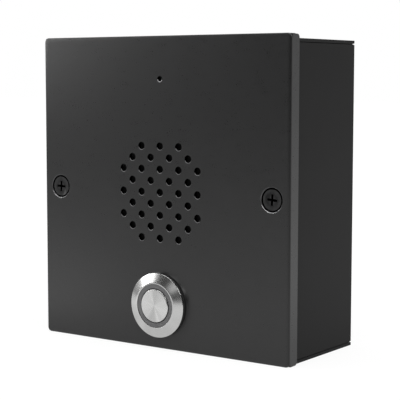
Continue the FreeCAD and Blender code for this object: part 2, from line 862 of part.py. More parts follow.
spring = doc.addObject("PartDesign::Body", "return_spring")
spring_section = sketch_on(spring, "XY_Plane", "spring_section")
draw_circle(spring_section, (s.spring_radius, collar_rear + s.spring_wire_radius), s.spring_wire_radius)
coil = spring.newObject("PartDesign::AdditiveHelix", "spring_coil")
coil.Profile = spring_section
coil.ReferenceAxis = (spring_section, ["V_Axis"])
coil.Mode = 0
coil_height = s.spring_length - 2 * s.spring_wire_radius
bind(coil, "Height", coil_height)
bind(coil, "Pitch", coil_height / s.spring_turns)
bind(spring, "Placement.Base.z", s.button_z)
keep("return_spring", spring)

bridge_rear = stem_end + s.bridge_thickness
keep("contact_bridge", block("contact_bridge",
                             (-s.bridge_half_width, stem_end, s.button_z - s.bridge_half_length),
                             (s.bridge_half_width, bridge_rear, s.button_z + s.bridge_half_length)))

# Ring of light behind the translucent ring: four lamps on a ring-shaped board

led_front = ring_rear + s.button_fit
led_rear = led_front + s.led_size
led_board_rear = led_rear + s.led_board_thickness
collar_bore = shoulder_radius + s.shoulder_gap
collar_outer = s.barrel_bore - s.button_fit
keep("led_board", ring("led_board", collar_outer, collar_bore, led_rear, led_board_rear, 0, s.button_z))
led_circle = (collar_bore + collar_outer) / 2
leds = []
for turn_x, turn_z in ((1, 0), (0, 1), (-1, 0), (0, -1)):
    x = led_circle * turn_x
    z = s.button_z + led_circle * turn_z
    reach_x = s.led_size / 2 + s.led_size / 2 * abs(turn_z)
    reach_z = s.led_size / 2 + s.led_size / 2 * abs(turn_x)
    leds.append(block(f"ring_led_{len(leds)}", (x - reach_x, led_front, z - reach_z),
                      (x + reach_x, led_rear, z + reach_z)))
keep("ring_leds", group("ring_leds", *leds))

# Switch body, a plastic moulding in the barrel, with its contacts and pins

contact_front = bridge_rear + s.button_travel + s.contact_gap
chamber_rear = contact_front + s.chamber_end
body_rear = barrel_rear + s.switch_flange
terminal_end = body_rear + s.terminal_length
switch_blank = turned("switch_blank", [
    (collar_bore, led_board_rear),
    (collar_outer, led_board_rear),
    (collar_outer, barrel_rear),
    (s.switch_flange_radius, barrel_rear),
    (s.switch_flange_radius, body_rear),
    (0, body_rear),
    (0, chamber_rear),
    (s.chamber_radius, chamber_rear),
    (s.chamber_radius, spring_seat + s.seat_wall),
    (s.stem_radius + s.stem_fit, spring_seat + s.seat_wall),
    (s.stem_radius + s.stem_fit, spring_seat),
    (collar_bore, spring_seat),
], 0, s.button_z)
contacts = []
pins = []
switch_tools = []
for side, name in ((-1, "minus"), (1, "plus")):
    contact_z = s.button_z + side * s.contact_offset
    pin_x = side * led_circle
    contacts.append(rod(f"contact_{name}", s.contact_radius, contact_front, terminal_end, 0, contact_z))
    switch_tools.append(rod(f"contact_hole_{name}", s.contact_radius, contact_front, body_rear,
                            0, contact_z))
    pins.append(rod(f"led_pin_{name}", s.led_pin_radius, led_board_rear, terminal_end, pin_x, s.button_z))
    switch_tools.append(rod(f"led_pin_hole_{name}", s.led_pin_radius, led_board_rear, body_rear,
                            pin_x, s.button_z))
keep("switch_body", cut("switch_body", switch_blank, *switch_tools))
keep("switch_contacts", group("switch_contacts", *contacts))
keep("led_pins", group("led_pins", *pins))

# Button nut: chamfered hexagon on the barrel, against the cover's inner face

nut_rear = s.inside + s.nut_thickness
nut_circle = s.nut_across_flats / math.sqrt(3)
nut_bore = s.button_barrel_radius + s.nut_bore_fit
nut_envelope = turned("nut_envelope", [
    (nut_bore, s.inside),
    (nut_circle, s.inside),
    (nut_circle, nut_rear - s.nut_chamfer),
    (nut_circle - 2 * s.nut_chamfer, nut_rear),
    (nut_bore, nut_rear),
], 0, s.button_z)
nut_hexagon = hexagon("nut_hexagon", s.nut_across_flats, s.inside, nut_rear, 0, s.button_z)
keep("button_nut", common("button_nut", nut_hexagon, nut_envelope))

# Speaker: screen, gasket, frame, moving cone and magnet, stacked from the cover inwards

lip_front = s.inside + s.speaker_gasket_thickness
frame_front = lip_front + s.surround_lip
keep("dust_screen", rod("dust_screen", s.roll_outer_radius - s.screen_gap,
                        s.inside, s.inside + s.screen_thickness, 0, s.grille_z))


def corner_rods(name, radius, start, end):
    """Four rods at the speaker's fixing corners."""
    return [rod(f"{name}_{across}_{up}".replace("-1", "minus").replace("1", "plus"), radius, start, end,
                across * s.stud_offset, s.grille_z + up * s.stud_offset)
            for across in (-1, 1) for up in (-1, 1)]


def speaker_plate(name, start, end):
    """A square plate with rounded corners, the speaker's outline."""
    plate = doc.addObject("PartDesign::Body", name)
    bind(plate, "Placement.Base.y", start)
    pad(plate, name + "_pad", [rectangle(s.speaker_half_width, s.grille_z - s.speaker_half_width,
                                         s.grille_z + s.speaker_half_width)], end - start, True)
    round_edges(plate, name + "_corners", lambda edge: runs_along(edge, Y_AXIS), s.speaker_corner_radius)
    return plate


gasket_opening_tool = rod("speaker_gasket_opening", s.roll_outer_radius, s.inside, lip_front,
                          0, s.grille_z)
keep("speaker_gasket", cut("speaker_gasket", speaker_plate("speaker_gasket_plate", s.inside, lip_front),
                           gasket_opening_tool,
                           *corner_rods("gasket_hole", s.stud_hole_radius, s.inside, lip_front)))

flange_rear = frame_front + s.frame_sheet
ledge_front = lip_front + s.ledge_depth + s.spider_wall
ledge_inner = s.ledge_radius - s.ledge_width
basket_rear = frame_front + s.basket_depth
basket_floor = basket_rear - s.frame_sheet
flange_opening = rod("flange_opening", s.frame_opening, frame_front, flange_rear, 0, s.grille_z)
flange = cut("speaker_flange", speaker_plate("speaker_flange_plate", frame_front, flange_rear),
             flange_opening, *corner_rods("flange_hole", s.stud_hole_radius, frame_front, flange_rear))
basket_bore = s.winding_outer + s.basket_bore_gap
basket = turned("basket", [
    (s.frame_opening, frame_front),
    (s.frame_opening + s.frame_sheet, frame_front),
    (s.frame_opening + s.frame_sheet, frame_front + s.basket_shoulder + s.frame_sheet),
    (s.ledge_radius + s.frame_sheet, ledge_front + s.frame_sheet),
    (ledge_inner + s.frame_sheet, ledge_front + s.frame_sheet),
    (ledge_inner + s.frame_sheet, basket_rear),
    (basket_bore, basket_rear),
    (basket_bore, basket_floor),
    (ledge_inner, basket_floor),
    (ledge_inner, ledge_front),
    (s.ledge_radius, ledge_front),
    (s.frame_opening, frame_front + s.basket_shoulder),
], 0, s.grille_z)
window_tools = []
for across, up, name in ((1, 0, "right"), (-1, 0, "left"), (0, 1, "top"), (0, -1, "bottom")):
    half = s.window_width / 2
    reach = s.frame_opening + 2 * s.frame_sheet
    near_x, far_x = ordered(s.ledge_radius * across - half * abs(up), reach * across + half * abs(up))
    near_z, far_z = ordered(s.ledge_radius * up - half * abs(across), reach * up + half * abs(across))
    window_tools.append(block(f"window_{name}",
                              (near_x, flange_rear + s.window_margin, s.grille_z + near_z),
                              (far_x, ledge_front - s.window_margin, s.grille_z + far_z)))
keep("speaker_frame", fuse("speaker_frame", flange, cut("basket_with_windows", basket, *window_tools)))

# Surround: a rubber roll between the frame and the cone

roll_circle = s.roll_outer_radius - s.roll_radius
rolls = []
for name, radius in (("outer", s.roll_radius), ("inner", s.roll_radius - s.roll_wall)):
    torus = doc.addObject("Part::Torus", f"roll_{name}")
    bind(torus, "Radius1", roll_circle)
    bind(torus, "Radius2", radius)
    rolls.append(place(torus, 0, lip_front, s.grille_z))
roll_side = rod("roll_side", s.roll_outer_radius, lip_front, lip_front + s.roll_radius, 0, s.grille_z)
roll = common("surround_roll", cut("roll_tube", *rolls), roll_side)
lip_rear = lip_front + s.surround_lip
outer_lip = ring("surround_outer_lip", s.frame_opening + s.surround_lip_width,
                 s.roll_outer_radius - s.roll_wall, lip_front, lip_rear, 0, s.grille_z)
inner_lip = ring("surround_inner_lip", s.roll_inner_radius + s.roll_wall, s.cone_rim_radius - s.cone_lip,
                 lip_front, lip_rear, 0, s.grille_z)
keep("speaker_surround", fuse("speaker_surround", roll, outer_lip, inner_lip))

neck = lip_front + s.cone_depth
cone_bore = s.former_outer + s.glue_gap
keep("speaker_cone", turned("speaker_cone", [
    (s.cone_rim_radius - s.cone_lip, lip_rear),
    (s.cone_rim_radius, lip_rear),
    (s.cone_rim_radius, lip_rear + s.cone_wall),
    (s.cone_rim_radius - s.cone_lip + s.cone_wall / 2, lip_rear + s.cone_wall),
    (cone_bore + s.cone_wall, neck + s.cone_wall),
    (cone_bore, neck + s.cone_wall),
    (cone_bore, neck),
], 0, s.grille_z))

plate_front = basket_rear
plate_rear = plate_front + s.top_plate_thickness
coil_rear = plate_rear + s.winding_overhang
winding_front = plate_front - s.winding_overhang
keep("voice_coil", turned("voice_coil", [
    (s.coil_radius, neck - s.cone_wall),
    (s.former_outer, neck - s.cone_wall),
    (s.former_outer, winding_front),
    (s.winding_outer, winding_front),
    (s.winding_outer, coil_rear),
    (s.coil_radius, coil_rear),
], 0, s.grille_z))

# Dust cap: a shallow paper dome over the coil, glued to the cone

dust_cap_radius = s.former_outer + s.dust_cap_overlap
dome_rise = s.dust_cap_sphere - square_root(s.dust_cap_sphere * s.dust_cap_sphere
                                            - dust_cap_radius * dust_cap_radius)
cap_rear = neck - s.cone_wall
spheres = []
for name, radius in (("outer", s.dust_cap_sphere), ("inner", s.dust_cap_sphere - s.dust_cap_wall)):
    sphere = doc.addObject("Part::Sphere", f"dust_cap_{name}")
    bind(sphere, "Radius", radius)
    spheres.append(place(sphere, 0, cap_rear - dome_rise + s.dust_cap_sphere, s.grille_z))
dome_limit = rod("dust_cap_limit", dust_cap_radius, cap_rear - dome_rise, cap_rear, 0, s.grille_z)
keep("dust_cap", common("dust_cap", cut("dust_cap_shell", *spheres), dome_limit))

# Spider: a corrugated cloth disc that centres the coil

SPIDER_WAVES = 6
spider_front = ledge_front - s.spider_wall
wave_inner = cone_bore
wave_outer = ledge_inner
wave_step = (wave_outer - wave_inner) / SPIDER_WAVES
crests = [(wave_inner + wave_step * i, spider_front - s.spider_wave * (i % 2))
          for i in range(SPIDER_WAVES + 1)]
spider_rim = s.ledge_radius - s.glue_gap
spider_outline = crests + [(spider_rim, spider_front), (spider_rim, ledge_front)]
spider_outline += [(radius, depth + s.spider_wall) for radius, depth in reversed(crests)]
keep("speaker_spider", turned("speaker_spider", spider_outline, 0, s.grille_z))

magnet_rear = plate_rear + s.magnet_thickness
yoke_rear = magnet_rear + s.yoke_thickness
plate_bore = s.winding_outer + s.coil_gap
pole_radius = s.coil_radius - s.coil_gap
keep("top_plate", ring("top_plate", s.top_plate_radius, plate_bore, plate_front, plate_rear, 0, s.grille_z))
keep("magnet", ring("magnet", s.magnet_radius, plate_bore + s.magnet_bore_step,
                    plate_rear, magnet_rear, 0, s.grille_z))
keep("yoke", turned("yoke", [
    (0, plate_front),
    (pole_radius, plate_front),
    (pole_radius, magnet_rear),
    (s.top_plate_radius, magnet_rear),
    (s.top_plate_radius, yoke_rear),
    (0, yoke_rear),
], 0, s.grille_z))

# Speaker terminals behind the frame's ledge

terminal_front = ledge_front + s.frame_sheet
terminal_rear = terminal_front + s.terminal_board_thickness
terminal_inner = -(ledge_inner + s.frame_sheet + s.terminal_board_gap)
keep("speaker_terminal_board", block(
    "speaker_terminal_board",
    (terminal_inner - s.terminal_board_length, terminal_front, s.grille_z - s.terminal_board_half_width),
    (terminal_inner, terminal_rear, s.grille_z + s.terminal_board_half_width)))
lug_outer = terminal_inner - s.terminal_board_length
lugs = []
for side, name in ((-1, "low"), (1, "high")):
    lug_z = s.grille_z + side * s.lug_spacing / 2
    lugs.append(block(f"speaker_lug_{name}", (lug_outer, terminal_rear, lug_z - s.lug_width / 2),
                      (lug_outer + s.lug_length, terminal_rear + s.lug_thickness, lug_z + s.lug_width / 2)))
keep("speaker_lugs", group("speaker_lugs", *lugs))

# Clinch studs, washers and nuts that clamp the speaker to the cover

washer_rear = flange_rear + s.washer_thickness
small_nut_rear = washer_rear + s.small_nut_thickness
keep("speaker_studs", group("speaker_studs", *corner_rods("stud", s.stud_radius, s.inside,
                                                         s.inside + s.stud_length)))
washers = []
small_nuts = []
for across in (-1, 1):
    for up in (-1, 1):
        x = across * s.stud_offset
        z = s.grille_z + up * s.stud_offset
        label = f"{len(washers)}"
        washers.append(ring(f"washer_{label}", s.washer_radius, s.stud_radius + s.thread_clearance,
                            flange_rear, washer_rear, x, z))
        small_nuts.append(cut(f"small_nut_{label}",
                              hexagon(f"small_nut_hexagon_{label}", s.small_nut_across_flats,
                                      washer_rear, small_nut_rear, x, z),
                              rod(f"small_nut_bore_{label}", s.stud_radius + s.thread_clearance,
                                  washer_rear, small_nut_rear, x, z)))
keep("speaker_washers", group("speaker_washers", *washers))
keep("speaker_nuts", group("speaker_nuts", *small_nuts))

# Microphone: an electret capsule in a rubber boot behind its hole

boot_bore = s.mic_capsule_radius + s.mic_fit
capsule_front = s.inside + s.mic_boot_front
capsule_rear = capsule_front + s.mic_capsule_length
keep("mic_boot", turned("mic_boot", [
    (s.mic_sound_radius, s.inside),
    (s.mic_boot_radius, s.inside),
    (s.mic_boot_radius, s.inside + s.mic_boot_length),
    (boot_bore, s.inside + s.mic_boot_length),
    (boot_bore, capsule_front),
    (s.mic_sound_radius, capsule_front),
], 0, s.mic_z))
mic_pin_end = capsule_rear + s.mic_pin_length
mic_parts = [rod("mic_can", s.mic_capsule_radius, capsule_front, capsule_rear, 0, s.mic_z)]
for side, name in sides:
    mic_parts.append(rod(f"mic_pin_{name}", s.mic_pin_radius, capsule_rear, mic_pin_end,
                         side * s.mic_pin_spacing / 2, s.mic_z))
keep("mic_capsule", fuse("mic_capsule", *mic_parts))

# Main board on four standoffs, with a screw behind each

board_bottom = s.button_z + s.switch_flange_radius + s.board_to_button
board_top = s.box_top_inner - s.board_to_top
board_holes = [(side * (s.board_half_width - s.board_hole_inset), z)
               for side in (-1, 1)
               for z in (board_bottom + s.board_hole_inset, board_top - s.board_hole_inset)]
board_blank = block("board_blank", (-s.board_half_width, s.board_front, board_bottom),
                    (s.board_half_width, s.board_rear, board_top))
standoffs = []
board_screws = []
board_tools = []
screw_bore = s.standoff_bore_radius - s.thread_clearance
for number, (x, z) in enumerate(board_holes):
    board_tools.append(rod(f"board_hole_{number}", s.board_hole_radius, s.board_front, s.board_rear, x, z))
    standoffs.append(cut(f"standoff_{number}",
                         hexagon(f"standoff_hexagon_{number}", s.standoff_across_flats,
                                 s.inside, s.board_front, x, z),
                         rod(f"standoff_bore_{number}", s.standoff_bore_radius,
                             s.board_front - s.standoff_bore_depth, s.board_front, x, z)))
    screw_blank = turned(f"board_screw_blank_{number}", [
        (0, s.board_front - s.board_screw_length),
        (screw_bore, s.board_front - s.board_screw_length),
        (screw_bore, s.board_rear),
        (s.board_screw_head_radius, s.board_rear),
        (s.board_screw_head_radius, s.board_rear + s.board_screw_head / 2),
        (s.board_screw_head_radius * 0.7, s.board_rear + s.board_screw_head),
        (0, s.board_rear + s.board_screw_head),
    ], x, z)
    slots = []
    for turn, (reach_x, reach_z) in enumerate(((1, 0), (0, 1))):
        half_x = s.recess_width / 2 + s.recess_width * reach_x
        half_z = s.recess_width / 2 + s.recess_width * reach_z
        slots.append(block(f"board_screw_slot_{number}_{turn}",
                           (x - half_x, s.board_rear + s.board_screw_head / 2, z - half_z),
                           (x + half_x, s.board_rear + s.board_screw_head, z + half_z)))
    board_screws.append(cut(f"board_screw_{number}", screw_blank, *slots))
keep("main_board", cut("main_board", board_blank, *board_tools))
keep("board_standoffs", group("board_standoffs", *standoffs))
keep("board_screws", group("board_screws", *board_screws))

# Network jack at the board's lower edge, its mouth facing down

jack_right = s.board_half_width - s.jack_inset
jack_left = jack_right - s.jack_width
jack_middle = (jack_left + jack_right) / 2
jack_top = board_bottom + s.jack_height
jack_rear = s.board_rear + s.jack_depth
mouth_rear = jack_rear - s.jack_floor
mouth_front = mouth_rear - s.jack_mouth_depth
mouth_top = board_bottom + s.jack_mouth_length
keep("network_jack", cut(
    "network_jack",
    block("jack_shell", (jack_left, s.board_rear, board_bottom), (jack_right, jack_rear, jack_top)),
    block("jack_mouth", (jack_middle - s.jack_mouth_width / 2, mouth_front, board_bottom),
          (jack_middle + s.jack_mouth_width / 2, mouth_rear, mouth_top)),
    block("jack_latch", (jack_middle - s.latch_width / 2, mouth_front - s.latch_depth, board_bottom),
          (jack_middle + s.latch_width / 2, mouth_front, mouth_top))))
jack_wires = []
for number in range(8):
    wire_x = jack_middle + s.jack_contact_pitch * (number - 3.5)
    jack_wires.append(block(f"jack_contact_{number}",
                            (wire_x - s.jack_contact_width / 2, mouth_rear - s.jack_contact_thickness,
                             mouth_top - s.jack_contact_length),
                            (wire_x + s.jack_contact_width / 2, mouth_rear, mouth_top)))
keep("jack_contacts", group("jack_contacts", *jack_wires))

# Terminal block for the door release, wires entering from below

TERMINALS = 5
block_left = -s.board_half_width + s.block_inset
block_right = block_left + s.block_pitch * TERMINALS + 2 * s.block_end_wall
block_rear = s.board_rear + s.block_depth
entry_middle = s.board_rear + s.block_depth / 2
block_tools = []
block_screws = []
for number in range(TERMINALS):
    x = block_left + s.block_end_wall + s.block_pitch * (number + 0.5)
    z = board_bottom + s.block_height / 2
    half = s.block_entry / 2
    block_tools.append(block(f"wire_entry_{number}", (x - half, entry_middle - s.block_entry, board_bottom),
                             (x + half, entry_middle, board_bottom + s.block_entry_length)))
    screw_front = block_rear - s.block_screw_length - s.block_screw_sink
    block_tools.append(rod(f"screw_well_{number}", s.block_screw_radius + s.thread_clearance,
                           screw_front, block_rear, x, z))
    slot_floor = screw_front + s.block_screw_length - s.block_screw_slot
    block_screws.append(cut(
        f"terminal_screw_{number}",
        rod(f"terminal_screw_blank_{number}", s.block_screw_radius,
            screw_front, screw_front + s.block_screw_length, x, z),
        block(f"terminal_screw_slot_{number}",
              (x - s.block_screw_radius, slot_floor, z - s.block_screw_slot / 2),
              (x + s.block_screw_radius, screw_front + s.block_screw_length, z + s.block_screw_slot / 2))))
keep("terminal_block", cut("terminal_block",
                           block("terminal_block_blank", (block_left, s.board_rear, board_bottom),
                                 (block_right, block_rear, board_bottom + s.block_height)),
                           *block_tools))
keep("terminal_screws", group("terminal_screws", *block_screws))

# Relay, transformer, capacitors and choke

relay_left = -s.board_half_width + s.relay_inset
relay_low = board_bottom + s.block_height + s.relay_above_block
relay_top = relay_low + s.relay_height
keep("relay", block("relay", (relay_left, s.board_rear, relay_low),
                    (relay_left + s.relay_width, s.board_rear + s.relay_depth, relay_top)))
transformer_low = jack_top + s.transformer_above_jack
transformer_top = transformer_low + s.transformer_height
keep("transformer", block("transformer", (jack_left, s.board_rear, transformer_low),
                          (jack_right, s.board_rear + s.transformer_depth, transformer_top)))

capacitor_x = -s.board_half_width + s.capacitor_inset
capacitor_z = relay_top + s.capacitor_above_relay
capacitor_rear = s.board_rear + s.capacitor_height
capacitors = []
for right, up in ((0, 0), (1, 0), (0, 1)):
    capacitors.append(turned(f"capacitor_{len(capacitors)}", [
        (0, s.board_rear),
        (s.capacitor_radius, s.board_rear),
        (s.capacitor_radius, capacitor_rear - s.capacitor_chamfer),
        (s.capacitor_radius - s.capacitor_chamfer, capacitor_rear),
        (0, capacitor_rear),
    ], capacitor_x + s.capacitor_pitch * right, capacitor_z + s.capacitor_pitch * up))
keep("capacitors", group("capacitors", *capacitors))

inductor_x = capacitor_x + s.capacitor_pitch
inductor_z = capacitor_z + s.capacitor_pitch
inductor_rear = s.board_rear + s.inductor_depth
inductor_half = s.inductor_width / 2
inductor_blank = block("inductor_blank",
                       (inductor_x - inductor_half, s.board_rear, inductor_z - inductor_half),
                       (inductor_x + inductor_half, inductor_rear, inductor_z + inductor_half))
inductor_groove = ring("inductor_groove", s.inductor_width * 0.45, s.inductor_post_radius,
                       inductor_rear - s.inductor_groove, inductor_rear, inductor_x, inductor_z)
keep("inductor", cut("inductor", inductor_blank, inductor_groove))


def chip(name, x, z, width, height, depth):
    """A flat package centred on a point of the board's rear side."""
    return keep(name, block(name, (x - width / 2, s.board_rear, z - height / 2),
                            (x + width / 2, s.board_rear + depth, z + height / 2)))


centre = as_size(0)
processor_z = s.cable_z + s.processor_above_cable
chip("processor", centre, processor_z, s.processor_width, s.processor_width, s.processor_depth)
chip("memory_chip", jack_middle, processor_z, s.memory_width, s.memory_height, s.memory_depth)
header_z = board_bottom + s.header_above_board_edge
chip("amplifier_chip", centre, header_z + s.header_height + s.amplifier_width,
     s.amplifier_width, s.amplifier_width, s.amplifier_depth)
chip("crystal", centre, board_top - s.crystal_below_top, s.crystal_width, s.crystal_height, s.crystal_depth)

# Reset switch on the board, pressed with the cover off

reset_x = s.board_half_width - s.reset_inset
reset_z = board_top - s.reset_below_top
reset_rear = s.board_rear + s.reset_depth
reset_half = s.reset_width / 2
plunger_front = reset_rear - s.reset_plunger_sink
keep("reset_switch", cut(
    "reset_switch",
    block("reset_blank", (reset_x - reset_half, s.board_rear, reset_z - reset_half),
          (reset_x + reset_half, reset_rear, reset_z + reset_half)),
    rod("reset_well", s.reset_plunger_radius + s.reset_plunger_fit,
        plunger_front - s.reset_travel - s.contact_gap, reset_rear, reset_x, reset_z)))
keep("reset_plunger", rod("reset_plunger", s.reset_plunger_radius, plunger_front,
                          reset_rear + s.reset_plunger_proud, reset_x, reset_z))

# Wire headers on the board and the plugs on them. The button's header is on the
# rear side, the speaker's and the microphone's face the cover.

speaker_header_x = -s.board_half_width + s.speaker_header_inset
mic_header_z = s.grille_z + s.mic_header_above_grille
HEADERS = (
    ("button", 4, centre, header_z, s.board_rear, 1),
    ("speaker", 2, speaker_header_x, s.grille_z, s.board_front, -1),
    ("mic", 2, centre, mic_header_z, s.board_front, -1),
)
headers = []
plugs = []
for name, ways, x, z, face, outward in HEADERS:
    upright = name == "speaker"
    long_half = s.header_pitch * ways / 2 + s.header_end_wall
    half_x, half_z = (s.header_height / 2, long_half) if upright else (long_half, s.header_height / 2)
    middle = face + outward * s.header_depth
    far = middle + outward * s.plug_depth
    for kind, made, start, end, shrink in (("header", headers, face, middle, as_size(0)),
                                           ("plug", plugs, middle, far, s.plug_shrink)):
        low_y, high_y = ordered(start, end)
        made.append(block(f"{name}_{kind}", (x - half_x + shrink, low_y, z - half_z + shrink),
                          (x + half_x - shrink, high_y, z + half_z - shrink)))
keep("wire_headers", group("wire_headers", *headers))
keep("wire_plugs", group("wire_plugs", *plugs))

# Leads from the speaker, the microphone and the button to their plugs


def lead(corners, radius):
    """A round lead: straight runs joined by tangent arcs."""
    points = [Vector(*[as_size(value).value for value in corner]) for corner in corners]
    edges = []
    start = points[0]
    for before, corner, after in zip(points, points[1:], points[2:]):
        inward = (corner - before).normalize()
        outward = (after - corner).normalize()
        reach = 0.45 * min((corner - before).Length, (after - corner).Length)
        half_turn = inward.getAngle(outward) / 2
        bend = reach / math.tan(half_turn)
        towards = (outward - inward).normalize()
        arc_start = corner - inward * reach
        arc_end = corner + outward * reach
        arc_middle = corner + towards * (bend / math.cos(half_turn) - bend)
        edges.append(Part.LineSegment(start, arc_start).toShape())
        edges.append(Part.Arc(arc_start, arc_middle, arc_end).toShape())
        start = arc_end
    edges.append(Part.LineSegment(start, points[-1]).toShape())
    path = Part.Wire(edges)
    section = Part.Wire(Part.Circle(points[0], points[1] - points[0], radius.value).toShape())
    solid = path.makePipeShell([section], True, False)
    expected = math.pi * radius.value ** 2 * path.Length
    if abs(solid.Volume - expected) > expected * 0.01:
        raise ValueError("a lead's volume differs from its section times its length")
    return solid


def leads(name, shapes):
    bundle = doc.addObject("Part::Feature", name)
    bundle.Shape = Part.makeCompound(shapes)
    return keep(name, bundle)


front_plug_face = s.board_front - s.header_depth - s.plug_depth
lug_depth = terminal_rear + s.lug_thickness / 2
leads("speaker_wires", [lead([
    (lug_outer, lug_depth, s.grille_z + side * s.lug_spacing / 2),
    (speaker_header_x, lug_depth, s.grille_z + side * s.lug_spacing / 2),
    (speaker_header_x, front_plug_face, s.grille_z + side * s.lug_spacing / 2),
], s.lead_radius) for side in (-1, 1)])

mic_run = (mic_pin_end + front_plug_face) / 2
leads("mic_wires", [lead([
    (side * s.mic_pin_spacing / 2, mic_pin_end, s.mic_z),
    (side * s.mic_pin_spacing / 2, mic_run, s.mic_z),
    (side * s.mic_pin_spacing / 2, mic_run, mic_header_z),
    (side * s.mic_pin_spacing / 2, front_plug_face, mic_header_z),
], s.mic_lead_radius) for side in (-1, 1)])

rear_plug_face = s.board_rear + s.header_depth + s.plug_depth
button_leads = []
for x, z, place_in_plug, rise in (
        (-led_circle, s.button_z, -1.5, s.low_lead_rise),
        (centre, s.button_z + s.contact_offset, -0.5, s.low_lead_rise),
        (centre, s.button_z - s.contact_offset, 0.5, s.high_lead_rise),
        (led_circle, s.button_z, 1.5, s.low_lead_rise)):
    plug_x = s.header_pitch * place_in_plug
    button_leads.append(lead([
        (x, terminal_end, z),
        (x, terminal_end + rise, z),
        (plug_x, terminal_end + rise, header_z),
        (plug_x, rear_plug_face, header_z),
    ], s.lead_radius))
leads("button_wires", button_leads)

# Check every object and write the pieces

doc.recompute()
for thing in doc.Objects:
    if "Invalid" in thing.State or "Error" in thing.State:
        raise RuntimeError(f"{thing.Label} failed: {thing.State}")
os.makedirs("parts", exist_ok=True)
for name, thing in nodes.items():
    shape = thing.Shape
    if shape.isNull() or not shape.isValid() or not shape.Solids:
        raise RuntimeError(f"{name} has no valid solid")
for name, thing in nodes.items():
    thing.Shape.exportStep(f"parts/{name}.step")
print(f"{len(nodes)} pieces written")
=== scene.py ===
import math

import bpy
from mathutils import Euler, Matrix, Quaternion, Vector


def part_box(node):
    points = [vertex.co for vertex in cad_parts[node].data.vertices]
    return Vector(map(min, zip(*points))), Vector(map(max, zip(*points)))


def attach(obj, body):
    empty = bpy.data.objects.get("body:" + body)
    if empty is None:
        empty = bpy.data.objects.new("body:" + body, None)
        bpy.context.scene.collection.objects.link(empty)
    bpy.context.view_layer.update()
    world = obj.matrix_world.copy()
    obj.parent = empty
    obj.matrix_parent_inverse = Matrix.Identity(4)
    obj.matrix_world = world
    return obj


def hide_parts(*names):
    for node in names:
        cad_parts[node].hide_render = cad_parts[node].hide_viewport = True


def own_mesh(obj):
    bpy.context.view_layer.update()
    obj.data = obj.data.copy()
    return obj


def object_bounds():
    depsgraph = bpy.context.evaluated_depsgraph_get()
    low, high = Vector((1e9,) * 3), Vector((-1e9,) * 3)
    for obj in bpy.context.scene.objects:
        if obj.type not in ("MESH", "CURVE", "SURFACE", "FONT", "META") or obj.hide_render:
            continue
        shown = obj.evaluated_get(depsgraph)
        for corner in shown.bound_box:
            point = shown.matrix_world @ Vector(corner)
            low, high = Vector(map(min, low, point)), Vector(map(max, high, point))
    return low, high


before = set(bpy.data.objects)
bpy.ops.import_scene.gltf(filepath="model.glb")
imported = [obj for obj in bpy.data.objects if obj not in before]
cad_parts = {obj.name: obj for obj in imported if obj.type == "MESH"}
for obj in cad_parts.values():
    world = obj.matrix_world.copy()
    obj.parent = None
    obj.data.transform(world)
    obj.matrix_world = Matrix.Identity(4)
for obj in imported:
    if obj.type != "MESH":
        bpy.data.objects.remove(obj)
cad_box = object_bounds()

# Back box
# One 1.2 mm steel sheet is folded up from the wall plate into four walls. Open seams and bend
# reliefs stay at its corners, and a matt, fine-grained powder coat covers the whole shell.

MM = 0.001
WELD = 0.001 * MM
SAME_PLANE = math.radians(0.5)
SMOOTH_UNDER = math.radians(50)


class Signal:
    """One output of a shader node. Python's operators on it add Math nodes."""

    def __init__(self, finish, socket):
        self.finish = finish
        self.socket = socket

    def maths(self, operation, *values):
        """The outcome of a Math node that works on the values."""
        return self.finish.node("ShaderNodeMath", {"operation": operation}, dict(enumerate(values)))

    def __add__(self, other):
        return self.maths("ADD", self, other)

    def __sub__(self, other):
        return self.maths("SUBTRACT", self, other)

    def __rsub__(self, other):
        return self.maths("SUBTRACT", other, self)

    def __mul__(self, other):
        return self.maths("MULTIPLY", self, other)

    def __truediv__(self, other):
        return self.maths("DIVIDE", self, other)

    def __pow__(self, other):
        return self.maths("POWER", self, other)

    def __gt__(self, other):
        return self.maths("GREATER_THAN", self, other)

    def __lt__(self, other):
        return self.maths("LESS_THAN", self, other)

    def __abs__(self):
        return self.maths("ABSOLUTE", self)

    __radd__ = __add__

    def beside(self, output):
        """Another output of the same node."""
        return Signal(self.finish, self.socket.node.outputs[output])


